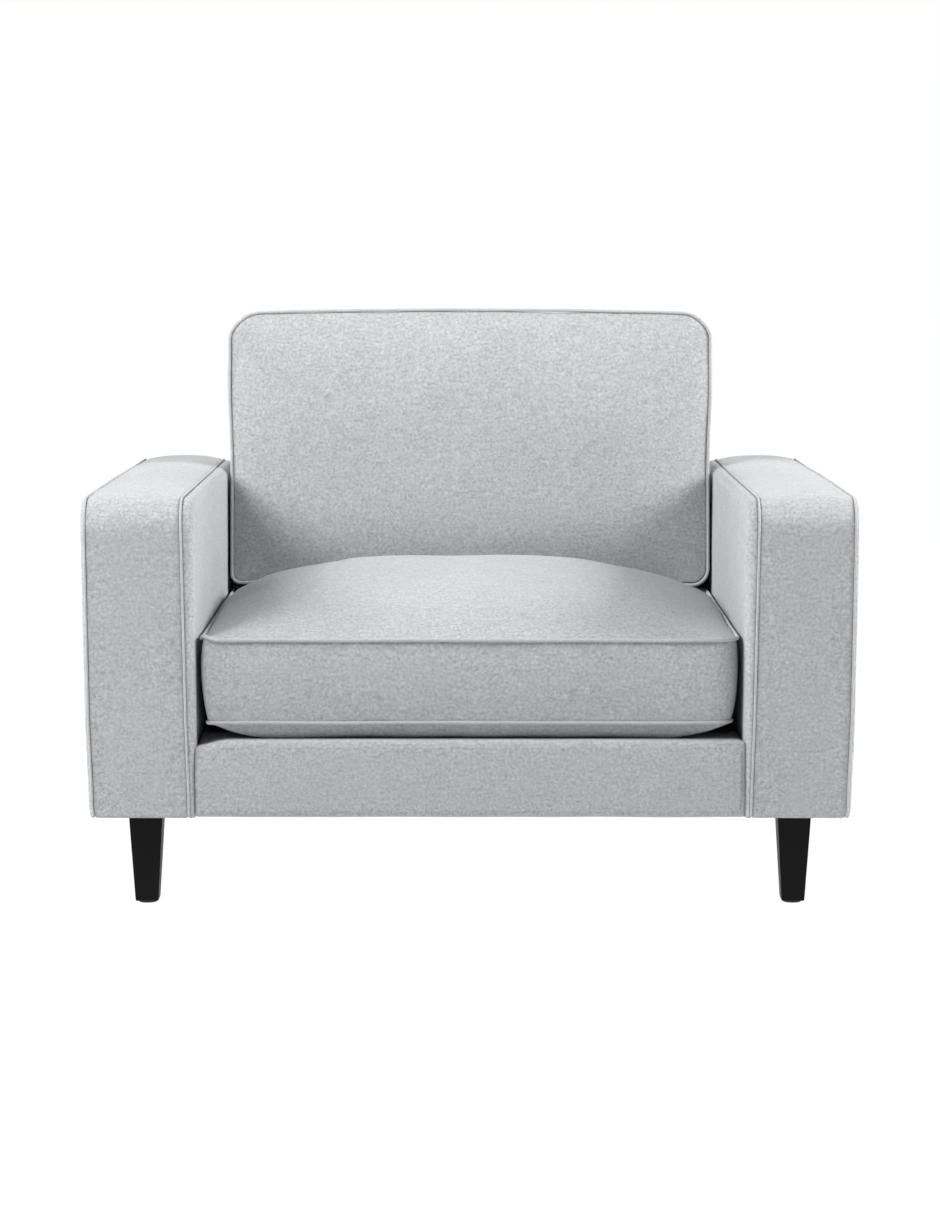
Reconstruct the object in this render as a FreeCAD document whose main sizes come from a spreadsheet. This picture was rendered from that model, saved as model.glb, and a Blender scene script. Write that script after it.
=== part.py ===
"""Upholstered armchair with loose seat and back cushions, in millimetres.

X runs across the chair, +Y to its rear and +Z up. The origin is on the floor, under the
middle of the chair. The back leans, so its pieces use a leaning frame: X, then v square to
the back and w up along it, with the deck line as its origin.
"""

import FreeCAD, Part
import math
import os
import re

import Sketcher
from FreeCAD import Vector

SIZES = [
    # overall
    ("overall_width", 1100, "outside of one arm to the other"),
    ("overall_depth", 860, "front of the arms to the rear of the back's top"),
    ("leg_height", 130, "floor to the underside of the body"),
    ("back_overhang", 15, "top of the back beyond the arms' rear"),
    # covers
    ("cover_thickness", 1.5, "woven cover cloth"),
    ("piping_diameter", 6, "self piping"),
    ("piping_gap", 0.2, "clearance round a cord of piping"),
    # arms
    ("arm_width", 162.5, "inner face to outer face"),
    ("arm_rise", 453, "underside to top"),
    ("arm_front_radius", 45, "roll where the front turns into the top"),
    ("arm_rear_radius", 20, "turn at the top of the rear edge"),
    ("arm_front_foam", 13.5, "foam on the front"),
    ("arm_top_foam", 18.5, "foam on the top"),
    ("arm_rear_foam", 3.5, "wadding on the rear"),
    ("arm_side_wadding", 8, "wadding on the outside"),
    ("arm_inner_foam", 7, "foam on the inside"),
    ("inner_ply", 9, "plywood inside panel"),
    ("outer_board", 3, "hardboard outside panel"),
    ("board_thickness", 22, "timber boards"),
    # seat base
    ("base_gap", 0.5, "clearance between the base and each arm"),
    ("base_height", 108, "underside to the deck cloth"),
    ("front_setback", 8, "front border behind the arm fronts"),
    ("front_foam", 10, "foam on the front border"),
    ("front_lip", 92, "deck end of the front border's cover"),
    ("rail_height", 76, "underside to the top of the seat rails"),
    ("side_rail_thickness", 28, "seat side rails"),
    ("deck_foam", 15, "deck pad"),
    ("felt_thickness", 3.5, "insulator felt"),
    ("dust_cloth", 1, "dust cover"),
    ("corner_block", 60, "legs of the corner blocks"),
    ("spring_wire", 3.8, "sinuous spring wire"),
    ("spring_half_width", 25, "middle of a spring to the wire at its bends"),
    ("spring_edge", 71.5, "side rail to the middle of the nearest spring"),
    ("spring_lift", 6, "rail top to the middle of the wire"),
    ("tie_wire", 3, "paper-covered cross tie"),
    ("clip_length", 16, "spring clip, across the chair"),
    ("clip_depth", 10, "spring clip, front to rear"),
    # bolts
    ("bolt_diameter", 8, "arm and leg bolts"),
    ("bolt_clearance", 0.05, "radial, round a bolt"),
    ("bolt_inset", 140, "front arm bolt behind the arm fronts"),
    ("bolt_rear_inset", 80, "rear arm bolt in front of the spring rail"),
    ("bolt_head_diameter", 15, "arm bolt head"),
    ("bolt_head_height", 5, "arm bolt head"),
    ("bolt_length", 60, "arm bolt shank"),
    ("tee_barrel", 10, "tee nut barrel diameter"),
    ("tee_flange", 22, "tee nut flange diameter"),
    ("tee_plate", 1.5, "tee nut flange thickness"),
    # back
    ("back_rake", 7, "lean of the back, in degrees"),
    ("back_thickness", 121, "front of the back to the arms' rear at the deck line"),
    ("back_rise", 602, "underside to the top of the back frame"),
    ("back_foam", 10, "foam on the front and top of the back"),
    ("back_side_foam", 5, "wadding on the sides of the back"),
    ("post_thickness", 21, "back posts"),
    ("rear_panel", 3, "outside back hardboard"),
    ("strap_thickness", 2, "elastic webbing"),
    ("strap_width", 60, "elastic webbing"),
    ("strap_edge", 98, "post to the middle of the nearest strap"),
    ("back_rail_height", 48, "top and lower back rails"),
    ("gusset_ply", 12, "gussets that tie the posts to the side rails"),
    # cushions
    ("cushion_gap", 2, "piping of a cushion to the arm beside it"),
    ("fill_gap", 0.3, "filling to its cover"),
    ("seat_front", 9, "seat cushion's front piping behind the arm fronts"),
    ("seat_rear_gap", 5, "seat cushion's rear piping to the back"),
    ("seat_lift", 1.5, "deck to the seat cushion's belly"),
    ("seat_belly", 23.5, "belly under the lower piping"),
    ("seat_boxing", 119, "lower piping to upper piping"),
    ("seat_crown", 72, "crown above the upper piping"),
    ("seat_belly_run", 60, "how far the belly slopes in"),
    ("seat_dip_inset", 2, "foot of the crown behind the back cushion's face"),
    ("seat_dip_rise", 8, "foot of the crown above the upper piping"),
    ("seat_corner", 14, "corner radius in plan"),
    ("back_cushion_lift", 3, "seat cushion's upper piping to the back cushion's lower edge"),
    ("back_cushion_height", 443, "lower edge to upper edge"),
    ("back_cushion_edge", 112, "thickness at the edges"),
    ("back_cushion_crown", 38, "extra thickness in the middle"),
    ("back_cushion_rest", 2, "cushion to the back behind it"),
    ("back_cushion_top_corner", 40, "corner radius"),
    ("back_cushion_low_corner", 14, "corner radius"),
    ("zip_end", 69, "side of the cushion to the end of its zip"),
    ("zip_width", 24, "zip tape"),
    ("zip_tape", 0.8, "tape thickness"),
    ("zip_coil", 1.4, "height of the coil on the tape"),
    ("zip_coil_width", 5, "width of the coil"),
    ("zip_stand_off", 0.3, "cover to tape, and coil to slider"),
    ("slider_length", 12, "zip slider body"),
    ("slider_width", 9, "zip slider body"),
    ("slider_height", 2, "zip slider body"),
    ("pull_length", 26, "zip pull"),
    ("pull_thickness", 1.2, "zip pull"),
    ("zip_stop", 10, "end of the zip to the parked slider"),
    # legs
    ("leg_top", 48, "side of the square at the body"),
    ("leg_foot", 33, "side of the square at the floor"),
    ("leg_corner", 4, "corner radius of the legs"),
    ("leg_side_inset", 87, "leg's middle from the outside of the arm"),
    ("leg_end_inset", 49, "leg's middle from the front or rear of the arm"),
    ("leg_bolt_depth", 40, "hanger bolt in the leg"),
    ("glide_diameter", 26, "nail-on glide"),
    ("glide_height", 3, "nail-on glide"),
    ("nail_diameter", 3, "glide's nail"),
    ("nail_length", 15, "glide's nail"),
]

# Places that follow from the sizes.
PLACES = {
    "front": "-overall_depth / 2",
    "arm_rear": "overall_depth / 2 - back_overhang",
    "back_origin_y": "arm_rear - back_thickness",
    "back_top": "leg_height + back_rise",
    "arm_top": "leg_height + arm_rise",
    "arm_in": "overall_width / 2 - arm_width",
    "arm_out": "overall_width / 2",
    "channel": "piping_diameter + 2 * piping_gap",
    "inner_pad_x": "arm_in + cover_thickness",
    "inner_ply_x": "inner_pad_x + arm_inner_foam",
    "frame_in": "inner_ply_x + inner_ply",
    "outer_ply_x": "arm_out - cover_thickness - arm_side_wadding",
    "frame_out": "outer_ply_x - outer_board",
    "frame_front": "front + cover_thickness + arm_front_foam",
    "frame_rear": "arm_rear - cover_thickness - arm_rear_foam",
    "frame_top": "arm_top - cover_thickness - arm_top_foam",
    "base_x": "arm_in - base_gap",
    "side_rail_x": "base_x - side_rail_thickness",
    "border_front": "front + front_setback",
    "rail_front": "border_front + cover_thickness + front_foam",
    "rail_back": "rail_front + board_thickness",
    "rail_low": "leg_height + cover_thickness",
    "rail_top": "leg_height + rail_height",
    "deck_top": "leg_height + base_height",
    "deck_rear": "back_origin_y - 9",
    "deck_low": "deck_top - cover_thickness - deck_foam",
    "spring_z": "rail_top + spring_lift",
    "spring_rail_y": "back_origin_y - 4",
    "rear_wall": "cover_thickness + rear_panel",
    "back_x": "base_x - 0.5",
    "post_out": "back_x - cover_thickness - back_side_foam",
    "post_in": "post_out - post_thickness",
    "back_face": "cover_thickness + back_foam",
    "bolt_z": "(rail_low + rail_top) / 2",
    "cushion_x": "arm_in - cushion_gap - channel",
    "seat_low": "deck_top + seat_lift",
    "seat_welt": "seat_low + seat_belly",
    "seat_top_welt": "seat_welt + seat_boxing",
    "seat_y0": "front + seat_front + channel",
    "seat_y1": "back_origin_y - seat_rear_gap - channel",
    "seat_dip_y": "back_origin_y - back_cushion_edge - back_cushion_crown + seat_dip_inset",
    "back_cushion_foot": "seat_top_welt - deck_top + back_cushion_lift",
    "zip_half": "cushion_x - zip_end",
    "cushion_w0": "back_cushion_foot + channel",
    "cushion_w1": "back_cushion_foot + back_cushion_height - channel",
    "leg_x": "arm_out - leg_side_inset",
    "leg_y0": "front + leg_end_inset",
    "leg_y1": "arm_rear - leg_end_inset",
}

SIDES = ("left", "right")
BOLTS = 3
SPRINGS = 6
SPRING_BENDS = 30
STRAPS = 5

doc = FreeCAD.newDocument("armchair")
sheet = doc.addObject("Spreadsheet::Sheet", "Sizes")
nodes = []


def fill_sheet():
    """Write the driving sizes into the sheet, each with its alias and note."""
    for row, (name, value, note) in enumerate(SIZES, start=1):
        sheet.set(f"A{row}", name)
        sheet.set(f"B{row}", str(value))
        sheet.setAlias(f"B{row}", name)
        sheet.set(f"C{row}", note)
    doc.recompute()


SIZE_NAMES = {name for name, _, _ in SIZES}


def bound(text):
    """Turn a formula in size and place names into one that the document can bind."""

    def swap(match):
        word = match.group(0)
        if word in PLACES:
            return f"({bound(PLACES[word])})"
        return f"Sizes.{word}" if word in SIZE_NAMES else word

    return re.sub(r"[a-z_][a-z_0-9]*", swap, str(text))


def number(text):
    """Present value of a formula."""
    return float(sheet.evalExpression(bound(text)))


def keep(item, label):
    """Name a finished sub-part and list it for export."""
    item.Label = label
    nodes.append(item)
    return item


def place(item, x="0", y="0", z="0"):
    """Bind an object's position."""
    for axis, text in zip("xyz", (x, y, z)):
        item.setExpression(f"Placement.Base.{axis}", bound(text))


def lean(item):
    """Stand an object in the leaning frame of the back."""
    item.Placement = FreeCAD.Placement(Vector(), FreeCAD.Rotation(Vector(1, 0, 0), -number("back_rake")))
    item.setExpression("Placement.Rotation.Angle", bound("-back_rake"))
    place(item, "0", "back_origin_y", "deck_top")
    return item


def span(side, low, high):
    """X limits of something on the right, or of its mirror image on the left."""
    return (low, high) if side == "right" else (f"-({high})", f"-({low})")


def box(name, x, y, z):
    """Box between three pairs of limits."""
    item = doc.addObject("Part::Box", name)
    for size, (low, high) in zip(("Length", "Width", "Height"), (x, y, z)):
        item.setExpression(size, bound(f"({high}) - ({low})"))
    place(item, x[0], y[0], z[0])
    return item


def rod(name, axis, limits, across, diameter):
    """Cylinder along X or Z between two limits; across gives its other two coordinates."""
    item = doc.addObject("Part::Cylinder", name)
    item.setExpression("Radius", bound(f"({diameter}) / 2"))
    item.setExpression("Height", bound(f"({limits[1]}) - ({limits[0]})"))
    if axis == "X":
        item.Placement = FreeCAD.Placement(Vector(), FreeCAD.Rotation(Vector(0, 1, 0), 90))
        place(item, limits[0], *across)
    else:
        place(item, *across, limits[0])
    return item


def fuse(name, first, second):
    item = doc.addObject("Part::Fuse", name)
    item.Base, item.Tool = first, second
    return item


def cut(name, first, second):
    item = doc.addObject("Part::Cut", name)
    item.Base, item.Tool = first, second
    return item


def group(label, items):
    """One node that holds several like pieces."""
    item = doc.addObject("Part::Compound", label)
    item.Links = items
    return keep(item, label)


def sketch_on(body, name, plane, level):
    """Empty sketch on an origin plane of its body, moved along the plane's normal."""
    sketch = body.newObject("Sketcher::SketchObject", name)
    origin = [f for f in body.Origin.OriginFeatures if f.Role == f"{plane}_Plane"][0]
    sketch.AttachmentSupport = [(origin, "")]
    sketch.MapMode = "FlatFace"
    sketch.setExpression("AttachmentOffset.Base.z", bound(level))
    return sketch


def arc_between(start, end, radius, turn):
    """Minor arc from start to end, anticlockwise for turn +1 and clockwise for -1."""
    middle, chord = (start + end) / 2, end - start
    reach = math.sqrt(max(radius**2 - (chord.Length / 2) ** 2, 0))
    centre = middle + Vector(-chord.y, chord.x, 0).normalize() * reach * turn
    first, last = (start, end) if turn > 0 else (end, start)
    angles = [math.atan2(p.y - centre.y, p.x - centre.x) for p in (first, last)]
    circle = Part.Circle(centre, Vector(0, 0, 1), radius)
    return Part.ArcOfCircle(circle, angles[0], angles[1] + (2 * math.pi if angles[1] < angles[0] else 0))


def draw(sketch, corners, closed=True):
    """Outline through corners (u, v), each bound to its formulas.

    A corner (u, v, turn, radius) starts an arc: turn +1 is anticlockwise, -1 clockwise.
    """
    count = len(corners)
    points = [Vector(number(c[0]), number(c[1]), 0) for c in corners]
    ends = []
    for i in range(count if closed else count - 1):
        start, end = points[i], points[(i + 1) % count]
        if len(corners[i]) == 2:
            index = sketch.addGeometry(Part.LineSegment(start, end), False)
            ends.append((index, 1, 2))
            continue
        turn, radius = corners[i][2:]
        index = sketch.addGeometry(arc_between(start, end, number(radius), turn), False)
        ends.append((index, 1, 2) if turn > 0 else (index, 2, 1))
        rule = sketch.addConstraint(Sketcher.Constraint("Radius", index, number(radius)))
        sketch.setExpression(f"Constraints[{rule}]", bound(radius))
    joints = len(ends) if closed else len(ends) - 1
    for i in range(joints):
        (one, _, out), (two, into, _) = ends[i], ends[(i + 1) % len(ends)]
        sketch.addConstraint(Sketcher.Constraint("Coincident", one, out, two, into))
    spots = [(geometry, into) for geometry, into, _ in ends]
    if not closed:
        spots.append((ends[-1][0], ends[-1][2]))
    for (geometry, spot), corner, point in zip(spots, corners, points):
        for kind, text, value in (("DistanceX", corner[0], point.x), ("DistanceY", corner[1], point.y)):
            rule = sketch.addConstraint(Sketcher.Constraint(kind, -1, 1, geometry, spot, value))
            sketch.setExpression(f"Constraints[{rule}]", bound(text))
    return sketch


def draw_circle(sketch, u, v, diameter):
    """Circle with a bound middle and radius."""
    centre, radius = Vector(number(u), number(v), 0), number(diameter) / 2
    index = sketch.addGeometry(Part.Circle(centre, Vector(0, 0, 1), radius), False)
    rule = sketch.addConstraint(Sketcher.Constraint("Radius", index, radius))
    sketch.setExpression(f"Constraints[{rule}]", bound(f"({diameter}) / 2"))
    for kind, text, value in (("DistanceX", u, centre.x), ("DistanceY", v, centre.y)):
        rule = sketch.addConstraint(Sketcher.Constraint(kind, -1, 1, index, 3, value))
        sketch.setExpression(f"Constraints[{rule}]", bound(text))
    return sketch


def start_level(plane, limits):
    """Sketch level from which a pad fills the limits: the XZ plane's normal is -Y."""
    return limits[0] if plane != "XZ" else f"-({limits[1]})"


def end_level(plane, limits):
    """Sketch level from which a pocket clears the limits."""
    return limits[1] if plane != "XZ" else f"-({limits[0]})"


def add_pad(body, name, plane, corners, limits):
    sketch = draw(sketch_on(body, f"{name}_outline", plane, start_level(plane, limits)), corners)
    feature = body.newObject("PartDesign::Pad", f"{name}_pad")
    feature.Profile = sketch
    feature.setExpression("Length", bound(f"({limits[1]}) - ({limits[0]})"))
    return feature


def add_pocket(body, name, plane, loops, limits):
    sketch = sketch_on(body, f"{name}_outline", plane, end_level(plane, limits))
    for corners in loops:
        draw(sketch, corners)
    feature = body.newObject("PartDesign::Pocket", f"{name}_pocket")
    feature.Profile = sketch
    feature.setExpression("Length", bound(f"({limits[1]}) - ({limits[0]})"))
    return feature


def add_holes(body, name, plane, spots, diameter, limits):
    sketch = sketch_on(body, f"{name}_circles", plane, end_level(plane, limits))
    for u, v in spots:
        draw_circle(sketch, u, v, diameter)
    feature = body.newObject("PartDesign::Pocket", f"{name}_holes")
    feature.Profile = sketch
    feature.setExpression("Length", bound(f"({limits[1]}) - ({limits[0]})"))
    return feature


def prism(name, plane, corners, limits):
    """Body that is one padded outline."""
    body = doc.addObject("PartDesign::Body", name)
    add_pad(body, name, plane, corners, limits)
    return body


def cord(name, route_plane, level, route, profile_plane, profile_level, spot, closed):
    """Body of round piping swept along a route of straight runs and tangent arcs."""
    body = doc.addObject("PartDesign::Body", name)
    path = draw(sketch_on(body, f"{name}_route", route_plane, level), route, closed)
    profile = draw_circle(
        sketch_on(body, f"{name}_section", profile_plane, profile_level), *spot, "piping_diameter"
    )
    pipe = body.newObject("PartDesign::AdditivePipe", f"{name}_pipe")
    pipe.Profile = profile
    pipe.Spine = (path, [])
    return body


# --- arms ---------------------------------------------------------------------------------


def arm_outline(inset, foot):
    """Side view of an arm, drawn in by an inset, down to a foot level."""
    front, rear, top = f"front + {inset}", f"arm_rear - ({inset})", f"arm_top - ({inset})"
    return [
        (front, foot),
        (rear, foot),
        (rear, "arm_top - arm_rear_radius", 1, f"arm_rear_radius - ({inset})"),
        ("arm_rear - arm_rear_radius", top),
        ("front + arm_front_radius", top, 1, f"arm_front_radius - ({inset})"),
        (front, "arm_top - arm_front_radius"),
    ]


def frame_outline(foot):
    """Side view of an arm's timber."""
    return [
        ("frame_front", foot), ("frame_rear", foot),
        ("frame_rear", "frame_top"), ("frame_front", "frame_top"),
    ]


def bolt_spots():
    """Y and Z of the arm bolts."""
    first, last = "(front + bolt_inset)", "(spring_rail_y - bolt_rear_inset)"
    return [(f"{first} + {i} / {BOLTS - 1} * ({last} - {first})", "bolt_z") for i in range(BOLTS)]


def arm_cover(side):
    """Cover band over the front, top and rear of an arm."""
    limits = span(side, "arm_in + channel", "arm_out - channel")
    name = f"{side}_arm_wrap_cover"
    body = prism(name, "YZ", arm_outline("0", "leg_height"), limits)
    add_pocket(body, f"{name}_inside", "YZ", [arm_outline("cover_thickness", "leg_height - 5")], limits)
    return keep(body, name)


def arm_side_piece(label, side, layer, hole):
    """Flat layer with the arm's outline, drilled for the bolts where hole names a diameter."""
    limits = span(side, *layer)
    body = prism(label, "YZ", arm_outline("channel", "leg_height"), limits)
    if hole:
        add_holes(body, label, "YZ", bolt_spots(), hole, limits)
    return keep(body, label)


def arm_wrap_pad(side):
    """Foam and wadding round the timber, closed on the outside and open on the inside."""
    name = f"{side}_arm_wrap_pad"
    ring = span(side, "inner_ply_x", "outer_ply_x")
    body = prism(name, "YZ", arm_outline("cover_thickness", "leg_height"), ring)
    add_pocket(body, f"{name}_inside", "YZ", [frame_outline("leg_height - 5")], ring)
    skin = span(side, "outer_ply_x", "arm_out - cover_thickness")
    add_pad(body, f"{name}_side", "YZ", arm_outline("channel", "leg_height"), skin)
    return keep(body, name)


def arm_piping(side):
    """Two cords of piping, along the inner and outer edges."""
    inset = "channel / 2"
    front, rear, top = f"front + {inset}", f"arm_rear - {inset}", f"arm_top - {inset}"
    route = [
        (front, "leg_height"),
        (front, "arm_top - arm_front_radius", -1, f"arm_front_radius - {inset}"),
        ("front + arm_front_radius", top),
        ("arm_rear - arm_rear_radius", top, -1, f"arm_rear_radius - {inset}"),
        (rear, "arm_top - arm_rear_radius"),
        (rear, "leg_height"),
    ]
    cords = []
    for edge, x in (("inner", f"arm_in + {inset}"), ("outer", f"arm_out - {inset}")):
        level = span(side, x, x)[0]
        name = f"{side}_{edge}_cord"
        cords.append(cord(name, "YZ", level, route, "XY", "leg_height", (level, front), False))
    return group(f"{side}_arm_piping", cords)


def arm_boards():
    """Timber of both arms: each kind of board is one node that holds its left and right piece."""
    inside = ("leg_height + board_thickness", "frame_top - board_thickness")
    deep = ("frame_front", "frame_rear")
    boards = {
        "arm_front_boards": (("frame_front", "frame_front + board_thickness"), inside),
        "arm_rear_boards": (("frame_rear - board_thickness", "frame_rear"), inside),
        "arm_top_boards": (deep, ("frame_top - board_thickness", "frame_top")),
    }
    for label, (y, z) in boards.items():
        group(label, [box(f"{label}_{s}", span(s, "frame_in", "frame_out"), y, z) for s in SIDES])
    group("arm_bottom_boards", [bottom_board(side) for side in SIDES])


def bottom_board(side):
    """Bottom board of an arm, bored for the tee nuts of its two legs."""
    name = f"{side}_bottom_board"
    x = span(side, "frame_in", "frame_out")
    corners = [
        (x[0], "frame_front"),
        (x[1], "frame_front"),
        (x[1], "frame_rear"),
        (x[0], "frame_rear"),
    ]
    thick = ("leg_height", "leg_height + board_thickness")
    body = prism(name, "XY", corners, thick)
    leg = span(side, "leg_x", "leg_x")[0]
    spots = [(leg, "leg_y0"), (leg, "leg_y1")]
    add_holes(body, name, "XY", spots, "tee_barrel + 2 * bolt_clearance", thick)
    return body


def arm_panels():
    """Plywood inside panels, bored for the tee nuts, and hardboard outside panels."""
    inner = []
    for side in SIDES:
        limits = span(side, "inner_ply_x", "frame_in")
        body = prism(f"{side}_inner_panel", "YZ", frame_outline("leg_height"), limits)
        bore = "tee_barrel + 2 * bolt_clearance"
        add_holes(body, f"{side}_inner_panel", "YZ", bolt_spots(), bore, limits)
        inner.append(body)
    group("arm_inner_panels", inner)
    deep, tall = ("frame_front", "frame_rear"), ("leg_height", "frame_top")
    outer = [box(f"{s}_outer_panel", span(s, "frame_out", "outer_ply_x"), deep, tall) for s in SIDES]
    group("arm_outer_panels", outer)


def tee_nut(name, axis, barrel, flange, across):
    """Barrel and flange with the bolt's bore."""
    solid = fuse(
        f"{name}_blank",
        rod(f"{name}_barrel", axis, barrel, across, "tee_barrel"),
        rod(f"{name}_flange", axis, flange, across, "tee_flange"),
    )
    ends = sorted([*barrel, *flange], key=number)
    bore = rod(f"{name}_bore", axis, (ends[0], ends[-1]), across, "bolt_diameter + 2 * bolt_clearance")
    return cut(name, solid, bore)


def arm_fasteners():
    """Bolts through the side rails into tee nuts in the arms' inside panels."""
    bolts, nuts = [], []
    for side in SIDES:
        for i, spot in enumerate(bolt_spots()):
            name = f"{side}_arm_bolt_{i}"
            head = span(side, "side_rail_x - bolt_head_height", "side_rail_x")
            shank = span(side, "side_rail_x", "side_rail_x + bolt_length")
            parts = [
                rod(f"{name}_head", "X", head, spot, "bolt_head_diameter"),
                rod(f"{name}_shank", "X", shank, spot, "bolt_diameter"),
            ]
            bolts.append(fuse(name, *parts))
            barrel = span(side, "inner_ply_x + 1", "frame_in")
            flange = span(side, "frame_in", "frame_in + tee_plate")
            nuts.append(tee_nut(f"{side}_arm_nut_{i}", "X", barrel, flange, spot))
    group("arm_bolts", bolts)
    group("arm_tee_nuts", nuts)


def build_arms():
    for side in SIDES:
        arm_cover(side)
        hole = "bolt_diameter + 2"
        arm_side_piece(f"{side}_arm_inner_cover", side, ("arm_in", "inner_pad_x"), hole)
        arm_side_piece(f"{side}_arm_inner_pad", side, ("inner_pad_x", "inner_ply_x"), hole)
        arm_side_piece(f"{side}_arm_outer_cover", side, ("arm_out - cover_thickness", "arm_out"), None)
        arm_wrap_pad(side)
        arm_piping(side)
    arm_boards()
    arm_panels()
    arm_fasteners()


# --- seat base ----------------------------------------------------------------------------


def side_rail(side):
    """Side rail, bored for the arm bolts."""
    limits = span(side, "side_rail_x", "base_x")
    corners = [
        ("rail_back", "rail_low"),
        ("frame_rear", "rail_low"),
        ("frame_rear", "rail_top"),
        ("rail_back", "rail_top"),
    ]
    name = f"{side}_side_rail"
    body = prism(name, "YZ", corners, limits)
    add_holes(body, name, "YZ", bolt_spots(), "bolt_diameter + 2 * bolt_clearance", limits)
    return body


def seat_rails():
    tall, wide = ("rail_low", "rail_top"), ("-base_x", "base_x")
    inside = ("-side_rail_x", "side_rail_x")
    keep(box("front_rail", wide, ("rail_front", "rail_back"), tall), "seat_front_rail")
    spring_y = ("spring_rail_y", "spring_rail_y + board_thickness")
    keep(box("spring_rail", inside, spring_y, tall), "seat_spring_rail")
    group("seat_side_rails", [side_rail(side) for side in SIDES])


def corner_blocks():
    """Triangular blocks in the corners of the front rail and of the spring rail."""
    blocks = []
    tall = ("rail_low + 8", "rail_top - 6")
    for side in SIDES:
        turn = 1 if side == "right" else -1
        for name, y, step in (("front", "rail_back", 1), ("rear", "spring_rail_y", -1)):
            corner = (f"{turn} * side_rail_x", y)
            along = (f"{turn} * (side_rail_x - corner_block)", y)
            back = (f"{turn} * side_rail_x", f"{y} + {step} * corner_block")
            corners = [corner, back, along] if turn * step > 0 else [corner, along, back]
            blocks.append(prism(f"{side}_{name}_block", "XY", corners, tall))
    group("seat_corner_blocks", blocks)


def spring_spots():
    """X of each spring."""
    return [f"({i / (SPRINGS - 1) * 2 - 1}) * (side_rail_x - spring_edge)" for i in range(SPRINGS)]


def sinuous_wire(x, start, pitch, half_width, level, radius):
    """Flat sinuous spring: straight runs across, joined by half-circle bends."""
    bend = pitch / 2
    run = half_width - bend
    edges = []
    for i in range(SPRING_BENDS + 1):
        y = start + i * pitch
        way = 1 if i % 2 == 0 else -1
        begin, end = Vector(x - way * run, y, level), Vector(x + way * run, y, level)
        edges.append(Part.LineSegment(begin, end).toShape())
        if i < SPRING_BENDS:
            middle = Vector(x + way * (run + bend), y + bend, level)
            edges.append(Part.Arc(end, middle, end + Vector(0, pitch, 0)).toShape())
    ring = Part.Circle(Vector(x - run, start, level), Vector(1, 0, 0), radius).toShape()
    return Part.Wire(edges).makePipeShell([Part.Wire([ring])], True, False)


def seat_springs():
    """Sinuous springs from the front rail to the spring rail, in one node."""
    start = number("rail_front + board_thickness / 2")
    pitch = (number("spring_rail_y + board_thickness / 2") - start) / SPRING_BENDS
    sizes = [number(t) for t in ("spring_half_width", "spring_z", "spring_wire / 2")]
    wires = [sinuous_wire(number(x), start, pitch, *sizes) for x in spring_spots()]
    item = doc.addObject("Part::Feature", "springs")
    item.Shape = Part.makeCompound(wires)
    item.Placement = FreeCAD.Placement()
    return keep(item, "seat_springs")


def spring_clips():
    """Clip round each end of each spring, on the rails."""
    clips = []
    middles = ("rail_front + board_thickness / 2", "spring_rail_y + board_thickness / 2")
    for end, y in zip(("front", "rear"), middles):
        for i, x in enumerate(spring_spots()):
            name = f"{end}_clip_{i}"
            across = (f"{x} - clip_length / 2", f"{x} + clip_length / 2")
            deep = (f"{y} - clip_depth / 2", f"{y} + clip_depth / 2")
            block = box(f"{name}_block", across, deep, ("rail_top", "spring_z + spring_wire / 2 + 1.5"))
            bore = rod(f"{name}_bore", "X", across, (y, "spring_z"), "spring_wire + 0.4")
            clips.append(cut(name, block, bore))
    group("seat_spring_clips", clips)


def spring_ties():
    """Cross ties that lie on the springs."""
    level = "spring_z + (spring_wire + tie_wire) / 2 + 0.2"
    reach = ("-(post_in - 10)", "post_in - 10")
    spots = ("rail_back + (spring_rail_y - rail_back) / 3", "rail_back + (spring_rail_y - rail_back) * 2 / 3")
    ties = [rod(f"tie_{i}", "X", reach, (y, level), "tie_wire") for i, y in enumerate(spots)]
    group("seat_spring_ties", ties)


def seat_deck():
    """Felt, pad and deck cloth over the springs."""
    wide = ("-base_x", "base_x")
    deep = ("rail_front", "deck_rear")
    felt = box("felt", ("-side_rail_x", "side_rail_x"), deep, ("deck_low - felt_thickness", "deck_low"))
    keep(felt, "deck_felt")
    keep(box("pad", wide, deep, ("deck_low", "deck_low + deck_foam")), "deck_pad")
    cloth_y = ("border_front + front_lip + 1", "deck_rear")
    keep(box("cloth", wide, cloth_y, ("deck_top - cover_thickness", "deck_top")), "deck_cloth")


def front_border():
    """Padded border on the front rail; its cover turns under the rail and onto the deck."""
    wide = ("-base_x", "base_x")
    pad_y = ("border_front + cover_thickness", "rail_front")
    keep(box("border_pad", wide, pad_y, ("rail_low", "deck_top - cover_thickness")), "front_border_pad")
    corners = [
        ("border_front", "leg_height"),
        ("rail_back", "leg_height"),
        ("rail_back", "rail_low"),
        ("border_front + cover_thickness", "rail_low"),
        ("border_front + cover_thickness", "deck_top - cover_thickness"),
        ("border_front + front_lip", "deck_top - cover_thickness"),
        ("border_front + front_lip", "deck_top"),
        ("border_front", "deck_top"),
    ]
    keep(prism("border_cover", "YZ", corners, wide), "front_border_cover")


def build_base():
    seat_rails()
    corner_blocks()
    seat_springs()
    spring_clips()
    spring_ties()
    seat_deck()
    front_border()
    dust_y = ("rail_back + 1", "arm_rear - cover_thickness - 1")
    dust = box("dust", ("-base_x", "base_x"), dust_y, ("leg_height", "leg_height + dust_cloth"))
    keep(dust, "dust_cover")


# --- back ---------------------------------------------------------------------------------


def face_y(depth, level):
    """Y of the leaning front face at a height, that depth behind the cover."""
    return f"back_origin_y + ({depth}) / cos(back_rake) + (({level}) - deck_top) * tan(back_rake)"


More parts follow.
